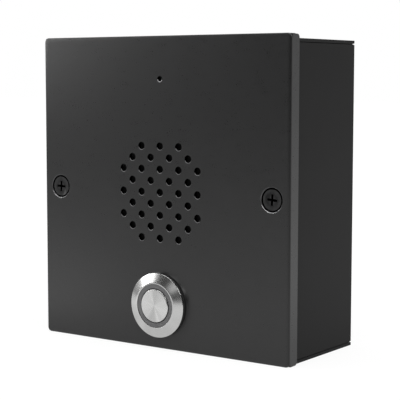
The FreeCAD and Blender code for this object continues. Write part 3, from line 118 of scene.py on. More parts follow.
class Finish:
    """The node tree of a material or of the world, with a method for any node."""

    def __init__(self, owner, shader):
        owner.use_nodes = True
        self.owner = owner
        self.tree = owner.node_tree
        self.shader = self.tree.nodes[shader]

    def node(self, kind, settings, sockets, output=0):
        """Adds a node with its settings and what feeds its sockets, and gives one output."""
        node = self.tree.nodes.new(kind)
        for name, value in settings.items():
            setattr(node, name, value)
        for name, value in sockets.items():
            self.feed(node.inputs[name], value)
        return Signal(self, node.outputs[output])

    def feed(self, socket, value):
        """Links a signal to a socket, or sets the socket to a fixed value."""
        if isinstance(value, Signal):
            self.tree.links.new(value.socket, socket)
        elif socket.type == "RGBA":
            socket.default_value = (*value, 1)
        else:
            socket.default_value = value

    def surface(self, **sockets):
        """Feeds the shader's sockets, named with underscores for their spaces."""
        for name, value in sockets.items():
            self.feed(self.shader.inputs[name.replace("_", " ")], value)

    def fed(self, name):
        """What feeds one of the shader's sockets so far."""
        return Signal(self, self.shader.inputs[name].links[0].from_socket)

    def place(self):
        return self.node("ShaderNodeTexCoord", {}, {}, "Object")

    def axes(self, centre=(0, 0, 0)):
        """X, Y and Z of the Object coordinates, measured from a centre."""
        shift = [-distance for distance in centre]
        moved = self.node("ShaderNodeMapping", {}, {"Vector": self.place(), "Location": shift})
        first = self.node("ShaderNodeSeparateXYZ", {}, {"Vector": moved})
        return first, first.beside(1), first.beside(2)

    def noise(self, scale, detail=2.0, stretch=(1, 1, 1), at=None):
        """Noise from 0 to 1 with about scale cycles per metre, on the piece or at another place."""
        spot = at or self.node("ShaderNodeMapping", {}, {"Vector": self.place(), "Scale": stretch})
        return self.node("ShaderNodeTexNoise", {}, {"Vector": spot, "Scale": scale, "Detail": detail})

    def ramp(self, value, low, high):
        """0 at low and 1 at high, even between them and held beyond."""
        return self.node("ShaderNodeMapRange", {}, {"Value": value, "From Min": low, "From Max": high})

    def shade(self, colour, strength):
        """The colour made lighter or darker by a varying strength."""
        sockets = {0: colour, "Scale": strength}
        return self.node("ShaderNodeVectorMath", {"operation": "SCALE"}, sockets)

    def mix(self, factor, first, second):
        """The first colour where the factor is 0 and the second where it is 1."""
        sockets = {0: factor, 6: first, 7: second}
        return self.node("ShaderNodeMix", {"data_type": "RGBA"}, sockets, 2)

    def bump(self, height, depth, strength=1.0):
        """A normal from a height between 0 and 1 that stands depth metres proud."""
        sockets = {"Height": height, "Distance": depth, "Strength": strength}
        return self.node("ShaderNodeBump", {}, sockets)


def material(name):
    return Finish(bpy.data.materials.new(name), "Principled BSDF")


def only(piece):
    """Selects one piece alone and makes it the active one."""
    bpy.ops.object.select_all(action="DESELECT")
    piece.select_set(True)
    bpy.context.view_layer.objects.active = piece


def copy_of(node, name):
    """A new piece with the CAD node's shape, its loose triangles merged into whole faces."""
    piece = bpy.data.objects.new(name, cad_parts[node].data.copy())
    bpy.context.scene.collection.objects.link(piece)
    only(piece)
    bpy.ops.mesh.customdata_custom_splitnormals_clear()
    bpy.ops.object.mode_set(mode="EDIT")
    bpy.ops.mesh.select_all(action="SELECT")
    bpy.ops.mesh.remove_doubles(threshold=WELD)
    bpy.ops.mesh.dissolve_limited(angle_limit=SAME_PLANE)
    bpy.ops.object.mode_set(mode="OBJECT")
    return piece


def soften(piece, width, segments=2, steepness=32):
    """Rounds edges that turn by more than steepness degrees, and shades the piece smoothly."""
    only(piece)
    if width:
        rounding = piece.modifiers.new("rounding", "BEVEL")
        rounding.width = width
        rounding.segments = segments
        rounding.limit_method = "ANGLE"
        rounding.angle_limit = math.radians(steepness)
        bpy.ops.object.modifier_apply(modifier=rounding.name)
        bpy.ops.object.mode_set(mode="EDIT")
        bpy.ops.mesh.select_all(action="SELECT")
        bpy.ops.mesh.remove_doubles(threshold=2 * WELD)
        bpy.ops.mesh.dissolve_degenerate(threshold=2 * WELD)
        bpy.ops.object.mode_set(mode="OBJECT")
    bpy.ops.object.shade_smooth_by_angle(angle=SMOOTH_UNDER)
    evening = piece.modifiers.new("evening", "WEIGHTED_NORMAL")
    evening.keep_sharp = True
    bpy.ops.object.modifier_apply(modifier=evening.name)


def finish_piece(piece, finish, slot, body, *nodes):
    """Gives a new piece its finish and its body, and lets it replace the nodes."""
    piece.data.materials.clear()
    piece.data.materials.append(finish.owner)
    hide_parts(*nodes)
    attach(piece, body)


def powder_coat(name, tone, specular, roughness):
    """A cured powder film: fine orange peel and a little unevenness in shade."""
    coat = material(name)
    peel = coat.noise(scale=2600, detail=3)
    cloud = coat.noise(scale=45, detail=3)
    drag = coat.noise(scale=520, detail=4, stretch=(0.4, 1, 1))
    strength = 0.66 + peel * 0.28 + cloud * 0.2 + drag * 0.2
    coat.surface(
        Base_Color=coat.shade((tone, tone, tone * 1.01), strength),
        Roughness=roughness + peel * 0.08 + (drag - 0.5) * 0.04,
        Normal=coat.bump(peel, depth=0.004 * MM),
        Specular_IOR_Level=specular,
    )
    return coat


box_coat = powder_coat("box_coat", tone=0.013, specular=0.08, roughness=0.42)
back_box = copy_of("back_box", "box_shell")
soften(back_box, width=0.12 * MM)
finish_piece(back_box, box_coat, "powder_coat", "case", "back_box")

# Cable bushing
# A black nylon ring pressed into the back plate from inside, so that the cable doesn't chafe. Its
# flange rests on the plate, and its bore is rounded at both ends.


def moulded(name, tone, roughness):
    """Moulded plastic: an eroded grain from the tool, and faint flow marks."""
    plastic = material(name)
    grain = plastic.noise(scale=3500, detail=2)
    flow = plastic.noise(scale=120, detail=3, stretch=(1, 0.3, 1))
    plastic.surface(
        Base_Color=plastic.shade(tone, 0.86 + grain * 0.12 + flow * 0.16),
        Roughness=roughness + grain * 0.12,
        Normal=plastic.bump(grain, depth=0.008 * MM),
    )
    return plastic


def refined(node, name, finish, slot, edge, body="case", segments=2):
    """A piece with the CAD node's shape and rounded edges, which replaces the node."""
    piece = copy_of(node, name)
    soften(piece, edge, segments)
    finish_piece(piece, finish, slot, body, node)


black_nylon = moulded("black_nylon", (0.016, 0.016, 0.017), roughness=0.42)
refined("cable_bushing", "cable_bushing_ring", black_nylon, "black_nylon", edge=0.45 * MM, segments=4)

# Front cover
# A 1.5 mm steel pan with short folded flanges, punched for the speaker, the microphone, the push
# button and two countersunk screws. Its powder coat is smoother than the box's.

cover_low, cover_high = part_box("front_cover")
COVER_SHEET = 1.5 * MM
FACE_SKIN = 0.01 * MM
FACE_CORNER = 1.7 * MM
FACE_EDGE = 0.5 * MM
FLANGE_FRONT = cover_low.y + 0.8 * MM
FLANGE_REAR = cover_high.y - 1 * MM
FLANGE_STEP = 0.25 * MM
FLANGE_SLIT = 0.2 * MM
FLANGE_CORNER = 1.4 * MM
GRILLE_HOLE = 1.35 * MM
GRILLE_PITCH = 6 * MM
GRILLE_ROWS = (3, 4, 5, 4, 5, 4, 5, 4, 3)
MIC_HOLE = 0.95 * MM
BUTTON_HOLE = 11.1 * MM
COUNTERSINK = 4.45 * MM
SCREW_OFFSET = 48.4 * MM
BARE_HIGHLIGHT_DEPTH = 0.3 * MM
HOLE_DEPTH = 1.4 * MM
PUNCH_ROLL = 0.2 * MM
PUNCH_SPARE = 0.5 * MM
MIC_HIGHLIGHT_DEPTH = 0.25 * MM
FOLD_REACH = 1.6 * MM
FOLD_DROP = 0.06 * MM
FOLD_FRONT = 0.4 * MM
mic_low, mic_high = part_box("mic_capsule")
screen_low, screen_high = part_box("dust_screen")
screws_low, screws_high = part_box("cover_screws")
button_low, button_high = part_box("button_housing")
mic_z = (mic_low.z + mic_high.z) / 2
grille_z = (screen_low.z + screen_high.z) / 2
screw_z = (screws_low.z + screws_high.z) / 2
button_z = (button_low.z + button_high.z) / 2


def block(name, low, high):
    """A rectangular blank between two corners."""
    bpy.ops.object.select_all(action="DESELECT")
    middle = [(a + b) / 2 for a, b in zip(low, high)]
    bpy.ops.mesh.primitive_cube_add(size=1, location=middle)
    piece = bpy.context.object
    piece.name = name
    piece.scale = [b - a for a, b in zip(low, high)]
    bpy.ops.object.transform_apply(location=True, rotation=True, scale=True)
    return piece


def round_off(piece, radius, segments, chosen):
    """Rounds the edges whose two ends are chosen."""
    only(piece)
    points = piece.data.vertices
    bpy.ops.object.mode_set(mode="EDIT")
    bpy.ops.mesh.select_mode(type="EDGE")
    bpy.ops.mesh.select_all(action="DESELECT")
    bpy.ops.object.mode_set(mode="OBJECT")
    for edge in piece.data.edges:
        edge.select = chosen(*(points[index].co for index in edge.vertices))
    bpy.ops.object.mode_set(mode="EDIT")
    bpy.ops.mesh.bevel(offset=radius, segments=segments, affect="EDGES")
    bpy.ops.object.mode_set(mode="OBJECT")


def combine(piece, tool, operation):
    """Joins the tool to the piece or cuts it out, and puts the tool away."""
    only(piece)
    step = piece.modifiers.new("step", "BOOLEAN")
    step.operation = operation
    step.object = tool
    bpy.ops.object.modifier_apply(modifier=step.name)
    bpy.data.objects.remove(tool)


def turn(name, centre, outline, sides=96, closed=False):
    """A turned piece on a line along Y, its rings of (radius, y) drawn out one from another."""
    x, z = centre
    radius, y = outline[0]
    bpy.ops.object.select_all(action="DESELECT")
    bpy.ops.mesh.primitive_circle_add(
        vertices=sides, radius=radius, location=(x, y, z), rotation=(math.pi / 2, 0, 0)
    )
    piece = bpy.context.object
    piece.name = name
    bpy.ops.object.transform_apply(location=True, rotation=True, scale=True)
    bpy.ops.object.mode_set(mode="EDIT")
    bpy.ops.mesh.select_all(action="SELECT")
    for ring_radius, ring_y in outline[1:]:
        bpy.ops.mesh.extrude_region_move(TRANSFORM_OT_translate={"value": (0, ring_y - y, 0)})
        widening = ring_radius / radius
        bpy.ops.transform.resize(
            value=(widening, 1, widening), center_override=(x, ring_y, z)
        )
        radius, y = ring_radius, ring_y
    bpy.ops.mesh.select_all(action="SELECT")
    if closed:
        bpy.ops.mesh.remove_doubles(threshold=WELD)
    else:
        bpy.ops.mesh.fill_holes(sides=0)
    bpy.ops.mesh.select_all(action="SELECT")
    bpy.ops.mesh.normals_make_consistent(inside=False)
    bpy.ops.object.mode_set(mode="OBJECT")
    return piece


def copies(piece, moves, leans=None):
    """Copies of a piece, each leant clockwise about Y and moved by (x, z), joined to one mesh."""
    bpy.ops.object.select_all(action="DESELECT")
    twins = []
    for (x, z), lean in zip(moves, leans or [0] * len(moves)):
        twin = bpy.data.objects.new(piece.name, piece.data.copy())
        bpy.context.scene.collection.objects.link(twin)
        twin.location = (x, 0, z)
        twin.rotation_euler.y = math.radians(lean)
        twin.select_set(True)
        twins.append(twin)
    name = piece.name
    bpy.data.objects.remove(piece)
    bpy.context.view_layer.objects.active = twins[0]
    bpy.ops.object.transform_apply(location=True, rotation=True, scale=False)
    bpy.ops.object.join()
    bpy.context.object.name = name
    return bpy.context.object


def punch(radius, rear_radius, centre, sides):
    """The tool for a hole whose front edge is drawn in round by PUNCH_ROLL."""
    face, inside = cover_low.y, cover_low.y + COVER_SHEET
    outline = [(radius + PUNCH_ROLL, face - PUNCH_SPARE)]
    for step in range(4):
        lean = math.radians(30 * step)
        outline.append((
            radius + PUNCH_ROLL * (1 - math.sin(lean)),
            face + PUNCH_ROLL * (1 - math.cos(lean)),
        ))
    slope = (rear_radius - radius) / (COVER_SHEET - PUNCH_ROLL)
    outline.append((rear_radius + slope * PUNCH_SPARE, inside + PUNCH_SPARE))
    return turn("punch", centre, outline, sides)


cover = block("cover_pan", cover_low, (cover_high.x, cover_low.y + COVER_SHEET, cover_high.z))
round_off(
    cover, FACE_CORNER, segments=6,
    chosen=lambda start, end: abs(start.y - end.y) > COVER_SHEET / 2,
)
round_off(
    cover, FACE_EDGE, segments=4,
    chosen=lambda start, end: max(start.y, end.y) < cover_low.y + FACE_SKIN,
)
side_x = cover_high.x - COVER_SHEET
for low_x, high_x in ((cover_low.x, -side_x), (side_x, cover_high.x)):
    flange = block(
        "flange",
        (low_x, FLANGE_FRONT, cover_low.z + FLANGE_STEP),
        (high_x, cover_high.y, cover_high.z - FLANGE_STEP),
    )
    round_off(
        flange, FLANGE_CORNER, segments=5,
        chosen=lambda start, end: abs(start.x - end.x) > COVER_SHEET / 2 and start.y > FLANGE_REAR,
    )
    combine(cover, flange, "UNION")
for low_z, high_z in (
    (cover_low.z, cover_low.z + COVER_SHEET),
    (cover_high.z - COVER_SHEET, cover_high.z),
):
    flange = block(
        "flange",
        (FLANGE_SLIT - side_x, FLANGE_FRONT, low_z),
        (side_x - FLANGE_SLIT, cover_high.y, high_z),
    )
    combine(cover, flange, "UNION")
soften(cover, width=0.22 * MM, segments=3)
grille_step = GRILLE_PITCH / math.sqrt(2)
grille_places = [
    (
        grille_step * (2 * column - (count - 1)),
        grille_z + grille_step * (len(GRILLE_ROWS) // 2 - row),
    )
    for row, count in enumerate(GRILLE_ROWS)
    for column in range(count)
]
grille = copies(punch(GRILLE_HOLE, GRILLE_HOLE, (0, 0), sides=28), grille_places)
combine(cover, grille, "DIFFERENCE")
combine(cover, punch(MIC_HOLE, MIC_HOLE, (0, mic_z), sides=32), "DIFFERENCE")
combine(cover, punch(BUTTON_HOLE, BUTTON_HOLE, (0, button_z), sides=96), "DIFFERENCE")
countersinks = punch(COUNTERSINK, COUNTERSINK - COVER_SHEET, (0, screw_z), sides=64)
combine(cover, copies(countersinks, [(-SCREW_OFFSET, 0), (SCREW_OFFSET, 0)]), "DIFFERENCE")
soften(cover, width=0)
cover_coat = powder_coat("cover_coat", tone=0.015, specular=0.5, roughness=0.25)
# Bare steel with a painted highlight lies on the lower side of each countersink and on the upward
# side of each hole's rolled edge, where the light from above falls. Further in, the holes and
# countersinks are painted black as shade. The coordinates start at the face and at the screws' height.
x, y, z = cover_coat.axes((0, cover_low.y, screw_z))
up = z + screw_z
aside = abs(abs(x) - SCREW_OFFSET)
spread = (aside * aside + z * z + WELD * WELD) ** 0.5
mouth = (spread < COUNTERSINK + 2 * PUNCH_ROLL) * (y > 2 * FACE_SKIN)
low_side = cover_coat.ramp(z / spread, -0.35, -0.6)
inside_folds = (abs(x) < side_x) * (abs(up) < side_x)
holes = inside_folds * (y > FACE_SKIN) * (y < HOLE_DEPTH) * (1 - mouth)
facing = cover_coat.node("ShaderNodeNewGeometry", {}, {}, "Normal")
upward = cover_coat.node("ShaderNodeSeparateXYZ", {}, {"Vector": facing}, "Z")
to_mic = up - mic_z
pinhole = (x * x + to_mic * to_mic) ** 0.5 < 2 * MIC_HOLE
# Painted highlight: the upward-facing part of each rolled hole edge, reaching deeper in the pinhole.
rim_highlight = holes * (y < PUNCH_ROLL + pinhole * MIC_HIGHLIGHT_DEPTH) * (upward > 0.3 - pinhole * 0.15)
# Painted shade: black on the hole walls and deep in the countersinks.
shaded_hollow = holes * (y > 2 * FACE_SKIN) * (1 - rim_highlight) + mouth * (y > BARE_HIGHLIGHT_DEPTH)
# Bare steel round each countersink's mouth, with a painted highlight on its lower side.
bare_and_highlight = mouth * (y < BARE_HIGHLIGHT_DEPTH) * (low_side * 0.9 + 0.1) + rim_highlight * (0.7 + pinhole * 0.3)
# Towards the folds the face leans back a little, as bent sheet does, and painted shade darkens it
# near the side folds.
to_sides = cover_coat.ramp(abs(x), cover_high.x - FOLD_REACH, cover_high.x)
to_ends = cover_coat.ramp(abs(up), cover_high.z - FOLD_REACH, cover_high.z)
fold = cover_coat.node("ShaderNodeBump", {}, {
    "Height": 1 - (to_sides * to_sides + to_ends * to_ends) * 0.5,
    "Distance": 2 * FOLD_DROP,
    "Normal": cover_coat.fed("Normal"),
})
# Painted shade: darker near the side folds, on the face.
fold_shaded = cover_coat.shade(cover_coat.fed("Base Color"), 1 - to_sides * (y < FOLD_FRONT) * 0.6)
# Painted shade: the colour turns black where the holes and countersinks sink in.
shaded_black = cover_coat.mix(shaded_hollow, fold_shaded, (0.001, 0.001, 0.001))
cover_coat.surface(
    # Painted highlight colour: pale steel, twice as bright at the pinhole.
    Base_Color=cover_coat.mix(bare_and_highlight, shaded_black, cover_coat.shade((0.42, 0.42, 0.43), 1 + pinhole)),
    Metallic=bare_and_highlight * 0.9 + shaded_hollow,
    Roughness=cover_coat.fed("Roughness") + shaded_hollow * 0.5 + bare_and_highlight * 0.1,
    Normal=fold,
)
finish_piece(cover, cover_coat, "powder_coat", "case", "front_cover")

# Cover screws
# Two steel screws with flat countersunk heads and cross recesses, zinc plated and blackened.
# They stand a little below the face and go into clinch nuts on the box's side tabs.

head_top = screws_low.y
SCREW_HEAD = 3.7 * MM
SCREW_RIM = 0.15 * MM
SCREW_SHANK = 1.95 * MM
SCREW_ROOT = 1.6 * MM
SCREW_PITCH = 0.7 * MM
SCREW_NECK = 0.5 * MM
SCREW_POINT = 0.3 * MM
RECESS_ARM = 2.1 * MM
RECESS_WIDTH = 0.9 * MM
RECESS_DEPTH = 1.6 * MM
RECESS_ENTRY = 0.6 * MM
RECESS_NARROWING = 2 / 3
THREAD_CREST = 0.2
THREAD_ROOT = 0.1
THREAD_FLANK = 0.35


def thread(crest, root, start, end, pitch):
    """Rings of (radius, y) for the teeth of a thread between two places."""
    count = round(abs(end - start) / pitch)
    step = (end - start) / count
    teeth = []
    for number in range(count):
        y = start + number * step
        root_y = y + step * (THREAD_CREST + THREAD_FLANK)
        teeth += [(crest, y), (crest, y + step * THREAD_CREST)]
        teeth += [(root, root_y), (root, root_y + step * THREAD_ROOT)]
    return teeth + [(crest, end)]


def black_plating(name):
    """Blackened zinc: a dark, slightly oily metal film, rubbed paler on its edges, with painted shade in
    the cross recess.
    """
    film = material(name)
    patches = film.noise(scale=1400, detail=3)
    rubbed = film.node("ShaderNodeNewGeometry", {}, {}, "Pointiness")
    worn = film.ramp(rubbed, 0.52, 0.6)
    _, y, _ = film.axes((0, head_top, 0))
    # Painted shade: the cross recess is darkened.
    shaded_hollow = (y > SCREW_RIM) * (y < RECESS_DEPTH + SCREW_RIM)
    black = film.shade((0.012, 0.012, 0.0125), (0.3 + patches * 1.4) * (1 - shaded_hollow * 0.93))
    film.surface(
        Base_Color=film.mix(worn * 0.35 * (1 - shaded_hollow), black, (0.2, 0.2, 0.2)),
        Metallic=0.4 + shaded_hollow * 0.6,
        Roughness=0.36 + patches * 0.14 + shaded_hollow * 0.4,
        Specular_IOR_Level=0.2,
        Normal=film.bump(patches, depth=0.012 * MM),
    )
    return film


def cross_recess(top):
    """The tool for a cross recess, its two wings narrowing evenly to the bottom."""
    bottom = top + RECESS_DEPTH
    entry_share = 1 + RECESS_NARROWING * RECESS_ENTRY / RECESS_DEPTH
    narrowing = (1 - RECESS_NARROWING) / entry_share
    wings = []
    for half_x, half_z in ((RECESS_ARM, RECESS_WIDTH / 2), (RECESS_WIDTH / 2, RECESS_ARM)):
        wide_x, wide_z = half_x * entry_share, half_z * entry_share
        wing = block("recess", (-wide_x, top - RECESS_ENTRY, -wide_z), (wide_x, bottom, wide_z))
        only(wing)
        points = wing.data.vertices
        for point in points:
            point.select = point.co.y > top
        for edge in wing.data.edges:
            edge.select = all(points[index].select for index in edge.vertices)
        for face in wing.data.polygons:
            face.select = all(points[index].select for index in face.vertices)
        bpy.ops.object.mode_set(mode="EDIT")
        bpy.ops.transform.resize(value=(narrowing, 1, narrowing), center_override=(0, top, 0))
        bpy.ops.object.mode_set(mode="OBJECT")
        wings.append(wing)
    combine(wings[0], wings[1], "UNION")
    return wings[0]


cone_start = head_top + SCREW_RIM
cone_end = cone_start + SCREW_HEAD - SCREW_SHANK
shank = (cone_end + SCREW_NECK, screws_high.y - SCREW_POINT)
screw = turn("cover_screw_pair", (0, 0), [
    (SCREW_HEAD, head_top),
    (SCREW_HEAD, cone_start),
    (SCREW_SHANK, cone_end),
    *thread(SCREW_SHANK, SCREW_ROOT, *shank, SCREW_PITCH),
    (SCREW_ROOT, screws_high.y),
], sides=48)
combine(screw, cross_recess(head_top), "DIFFERENCE")
screw_pair = copies(screw, [(-SCREW_OFFSET, screw_z), (SCREW_OFFSET, screw_z)], leans=(2, 4))
soften(screw_pair, width=0.06 * MM)
finish_piece(screw_pair, black_plating("black_zinc"), "black_zinc", "case", "cover_screws")

# Clinch nuts and foam gasket
# Zinc-plated nuts pressed into the box's side tabs take the cover screws, and a closed-cell foam
# strip on the box's front edges seals the cover.


def plated(name, tone, roughness):
    """Plated or bare metal with a cloudy film and fine drawing lines."""
    metal = material(name)
    cloud = metal.noise(scale=420, detail=4)
    lines = metal.noise(scale=2400, detail=2, stretch=(1, 0.1, 1))
    metal.surface(
        Base_Color=metal.shade(tone, 0.82 + cloud * 0.22 + lines * 0.12),
        Metallic=1.0,
        Roughness=roughness + cloud * 0.14 + lines * 0.06,
        Normal=metal.bump(lines, depth=0.003 * MM),
    )
    return metal


def dress(node, finish):
    """Gives a CAD node that stays in view its finish."""
    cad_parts[node].material_slots[0].material = finish.owner


zinc = plated("bright_zinc", (0.62, 0.64, 0.67), roughness=0.26)
refined("clinch_nuts", "clinch_nut_pair", zinc, "zinc_steel", edge=0.15 * MM)

foam = material("closed_cell_foam")
cells = foam.node("ShaderNodeTexVoronoi", {}, {"Vector": foam.place(), "Scale": 2400})
crumbs = foam.noise(scale=700, detail=3)
foam.surface(
    Base_Color=foam.shade((0.022, 0.022, 0.023), 0.5 + cells * 0.8 + crumbs * 0.3),
    Roughness=0.92,
    Normal=foam.bump(cells, depth=0.12 * MM),
)
dress("cover_gasket", foam)

# Push button head
# A stainless bezel and threaded barrel turned from one bar. Its cone and lip are spun-finished,
# so fine rings catch the light, and a black rubber ring seals it to the cover.

HEAD_CONE_START = cover_low.y - 2.0 * MM
RIM_ROUND = 0.25 * MM
RIM_STEPS = 5
UNDERCUT = 0.45 * MM
HEAD_SEAT = cover_low.y - 0.6 * MM
LIP_INNER = 8.1 * MM
LIP_OUTER = 8.8 * MM
LIP_STEP = button_low.y + 2.6 * MM
BARREL_BORE = 9.0 * MM
BARREL_RADIUS = 10.9 * MM
BARREL_ROOT = 10.35 * MM
BARREL_PITCH = 1.0 * MM
BARREL_NECK = 1.5 * MM
BARREL_END = 0.8 * MM
FIT = 0.1 * MM
GLINT_TURN = 108.07
LOBE_TURN = -8.13
GLINT_SHARPNESS = 60
FAN_DRIFT = 20
AXIS_BLUR = 0.0316 * MM
RING_WAVER = 0.2 * MM
head_radius = button_high.x


def spun_steel(name, tone, roughness, ring_depth, painted_streaks, painted_glint, painted_lobes):
    """Stainless steel with turning rings round a line through the button, and soft radial streaks of
    painted reflection.

    A narrow painted highlight, a bright bow, and two wide pale fans of painted sheen lie across the
    face, as strong as glint and lobes say. Each goes both ways from the middle, at its own turn in
    degrees from the right upwards.
    """
    steel = material(name)
    x, y, z = steel.axes((0, 0, button_z))
    radius = (x * x + z * z + AXIS_BLUR * AXIS_BLUR) ** 0.5
    right, up = x / radius, z / radius

    def along(degrees):
        """1 on one side in this direction, 0 across it and -1 on the opposite side."""
        return right * math.cos(math.radians(degrees)) + up * math.sin(math.radians(degrees))

    around = steel.node("ShaderNodeCombineXYZ", {}, {0: right, 1: up, 2: y * FAN_DRIFT})
    outward = {0: radius + y, 1: right * RING_WAVER, 2: up * RING_WAVER}
    rings = steel.noise(scale=2600, detail=2, at=steel.node("ShaderNodeCombineXYZ", {}, outward))
    fan = steel.noise(scale=2.3, detail=1, at=around)
    # Painted reflection: radial streaks, the glint bow and the sheen lobes brighten the colour.
    painted_bow = abs(along(GLINT_TURN)) ** GLINT_SHARPNESS
    fanned = along(LOBE_TURN)
    painted_sheen = fanned * fanned * 2 - 1
    smear = steel.noise(scale=260, detail=3)
    strength = 1 + (fan - 0.5) * painted_streaks + (rings - 0.5) * 0.04 + painted_bow * painted_glint + painted_sheen * painted_lobes
    steel.surface(
        Base_Color=steel.shade((tone, tone, tone * 0.99), strength),
        Metallic=1.0,
        Roughness=roughness + (rings - 0.5) * 0.04 + (smear - 0.5) * 0.04,
        Normal=steel.bump(rings, ring_depth),
    )
    return steel


slope = math.atan2(HEAD_CONE_START - button_low.y, head_radius - LIP_OUTER)
rim_end = HEAD_CONE_START + RIM_ROUND * (1 - math.sin(slope)) / math.cos(slope)
rim = []
for step in range(RIM_STEPS + 1):
    lean = slope + (math.pi / 2 - slope) * step / RIM_STEPS
    rim.append((
        head_radius - RIM_ROUND * (1 - math.sin(lean)),
        rim_end - RIM_ROUND * math.cos(lean),
    ))
barrel = (HEAD_SEAT + BARREL_NECK, button_high.y - BARREL_END)
housing = turn("button_head", (0, button_z), [
    (LIP_INNER, button_low.y),
    (LIP_OUTER, button_low.y),
    *rim,
    (head_radius - UNDERCUT, HEAD_SEAT),
    (BARREL_RADIUS, HEAD_SEAT),
    *thread(BARREL_RADIUS, BARREL_ROOT, *barrel, BARREL_PITCH),
    (BARREL_ROOT, button_high.y),
    (BARREL_BORE, button_high.y),
    (BARREL_BORE, LIP_STEP),
    (LIP_INNER, LIP_STEP),
    (LIP_INNER, button_low.y),
], closed=True)
soften(housing, width=0.045 * MM, segments=3, steepness=25)
# The bezel's colour holds soft radial streaks of painted reflection.
bezel_steel = spun_steel(
    "bezel_steel", tone=0.64, roughness=0.22, ring_depth=0.0004 * MM, painted_streaks=0.3, painted_glint=0, painted_lobes=0
)
finish_piece(housing, bezel_steel, "stainless", "case", "button_housing")

head_seal = material("head_seal_rubber")
dust = head_seal.noise(scale=900, detail=4)
head_seal.surface(
    Base_Color=head_seal.shade((0.012, 0.012, 0.012), 0.7 + dust * 0.7),
    Roughness=0.62 + dust * 0.2,
    Normal=head_seal.bump(dust, depth=0.02 * MM),
)
gasket_low, gasket_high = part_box("button_gasket")
seal_bore = BARREL_RADIUS + FIT
gasket = turn("button_head_seal", (0, button_z), [
    (seal_bore, gasket_low.y),
    (gasket_high.x, gasket_low.y),
    (gasket_high.x, gasket_high.y),
    (seal_bore, gasket_high.y),
    (seal_bore, gasket_low.y),
], closed=True)
soften(gasket, width=0.15 * MM, segments=3)
finish_piece(gasket, head_seal, "seal_rubber", "case", "button_gasket")

# Light ring
# A moulded ring of smoke-grey translucent resin behind the bezel's lip, unlit here. Its matt face
# scatters the light of the four lamps behind it.

RING_INNER = 6.4 * MM
ring_low, ring_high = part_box("button_light_ring")
ring_tube = LIP_INNER - FIT
ring_flange = BARREL_BORE - FIT
light_ring = turn("button_light_guide", (0, button_z), [
    (RING_INNER, ring_low.y),
    (ring_tube, ring_low.y),
    (ring_tube, LIP_STEP),
    (ring_flange, LIP_STEP),
    (ring_flange, ring_high.y),
    (RING_INNER, ring_high.y),
    (RING_INNER, ring_low.y),
], closed=True)
soften(light_ring, width=0.12 * MM, segments=3)
frosted = material("frosted_resin")
cloudy = frosted.noise(scale=700, detail=3)
matt = frosted.noise(scale=6000, detail=1)
x, _, z = frosted.axes((0, 0, button_z))
# Painted shadow: the ring's bore is darkened, as the gap between ring and cap lies in shade.
shaded_bore = (x * x + z * z) ** 0.5 < RING_INNER + FIT / 2
frosted.surface(
    Base_Color=frosted.shade((0.115, 0.115, 0.116), (0.9 + cloudy * 0.2) * (1 - shaded_bore * 0.9)),
    Roughness=0.42 + matt * 0.1,
    Normal=frosted.bump(matt, depth=0.004 * MM),
    Subsurface_Weight=0.3,
    Subsurface_Radius=(0.001, 0.001, 0.001),
    Subsurface_Scale=1.0,
)
finish_piece(light_ring, frosted, "ring_diffuser", "case", "button_light_ring")

# Button cap
# The disc that is pressed: turned stainless steel with a spun face, a small chamfer, and a skirt
# with a shoulder that holds it behind the light ring.

cap_low, cap_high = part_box("button_cap")
CAP_FRONT = cap_low.y + 0.2 * MM
CAP_RADIUS = 6.15 * MM
CAP_CHAMFER = 0.25 * MM
CAP_FACE = 1.0 * MM
CAP_BORE = 5.25 * MM
CAP_SHOULDER = 0.6 * MM
cap = turn("button_disc", (0, button_z), [
    (CAP_RADIUS - CAP_CHAMFER, CAP_FRONT),
    (CAP_RADIUS, CAP_FRONT + CAP_CHAMFER),
    (CAP_RADIUS, cap_high.y - CAP_SHOULDER),
    (cap_high.x, cap_high.y - CAP_SHOULDER),
    (cap_high.x, cap_high.y),
    (CAP_BORE, cap_high.y),
    (CAP_BORE, cap_low.y + CAP_FACE),
])
soften(cap, width=0.06 * MM, segments=2)
# The cap's colour holds painted reflection: radial streaks, a glint bow and two sheen lobes.
cap_steel = spun_steel(
    "cap_steel", tone=0.68, roughness=0.27, ring_depth=0.0003 * MM, painted_streaks=0.25, painted_glint=0.23, painted_lobes=0.13
)
finish_piece(cap, cap_steel, "stainless", "button", "button_cap")

# Button nut, plunger and spring
# A chamfered brass nut clamps the head to the cover. Behind the cap, a white nylon plunger slides
# in the switch body and carries the silver contact bridge. Its steel spring rests against a seat in
# the switch body that doesn't move.

nut_brass = plated("nickel_brass", (0.66, 0.6, 0.48), roughness=0.24)
refined("button_nut", "button_clamp_nut", nut_brass, "nut_brass", edge=0.25 * MM, segments=3)
white_nylon = moulded("white_nylon", (0.62, 0.61, 0.57), roughness=0.38)
refined("button_plunger", "button_push_rod", white_nylon, "white_nylon", edge=0.12 * MM, body="button")
contact_silver = plated("contact_silver", (0.8, 0.79, 0.76), roughness=0.2)
refined("contact_bridge", "button_bridge", contact_silver, "contact_silver", edge=0.1 * MM, body="button")
refined("switch_contacts", "button_contacts", contact_silver, "contact_silver", edge=0.08 * MM)
spring_steel = plated("spring_steel", (0.5, 0.5, 0.51), roughness=0.28)
spring = copy_of("return_spring", "button_spring")
soften(spring, width=0)
finish_piece(spring, spring_steel, "spring_steel", "case", "return_spring")
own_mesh(spring)

# Switch body and lamp ring
# A red nylon moulding fills the barrel and holds the contacts. In front of it, a ring-shaped board
# carries four small lamps that shine into the light ring.

red_nylon = moulded("red_nylon", (0.36, 0.02, 0.016), roughness=0.36)
refined("switch_body", "button_switch_body", red_nylon, "red_nylon", edge=0.2 * MM)
BOARD_CELL = 5.2 * MM
TRACK_PITCH = 0.65 * MM
TRACK_SHARE = 0.42


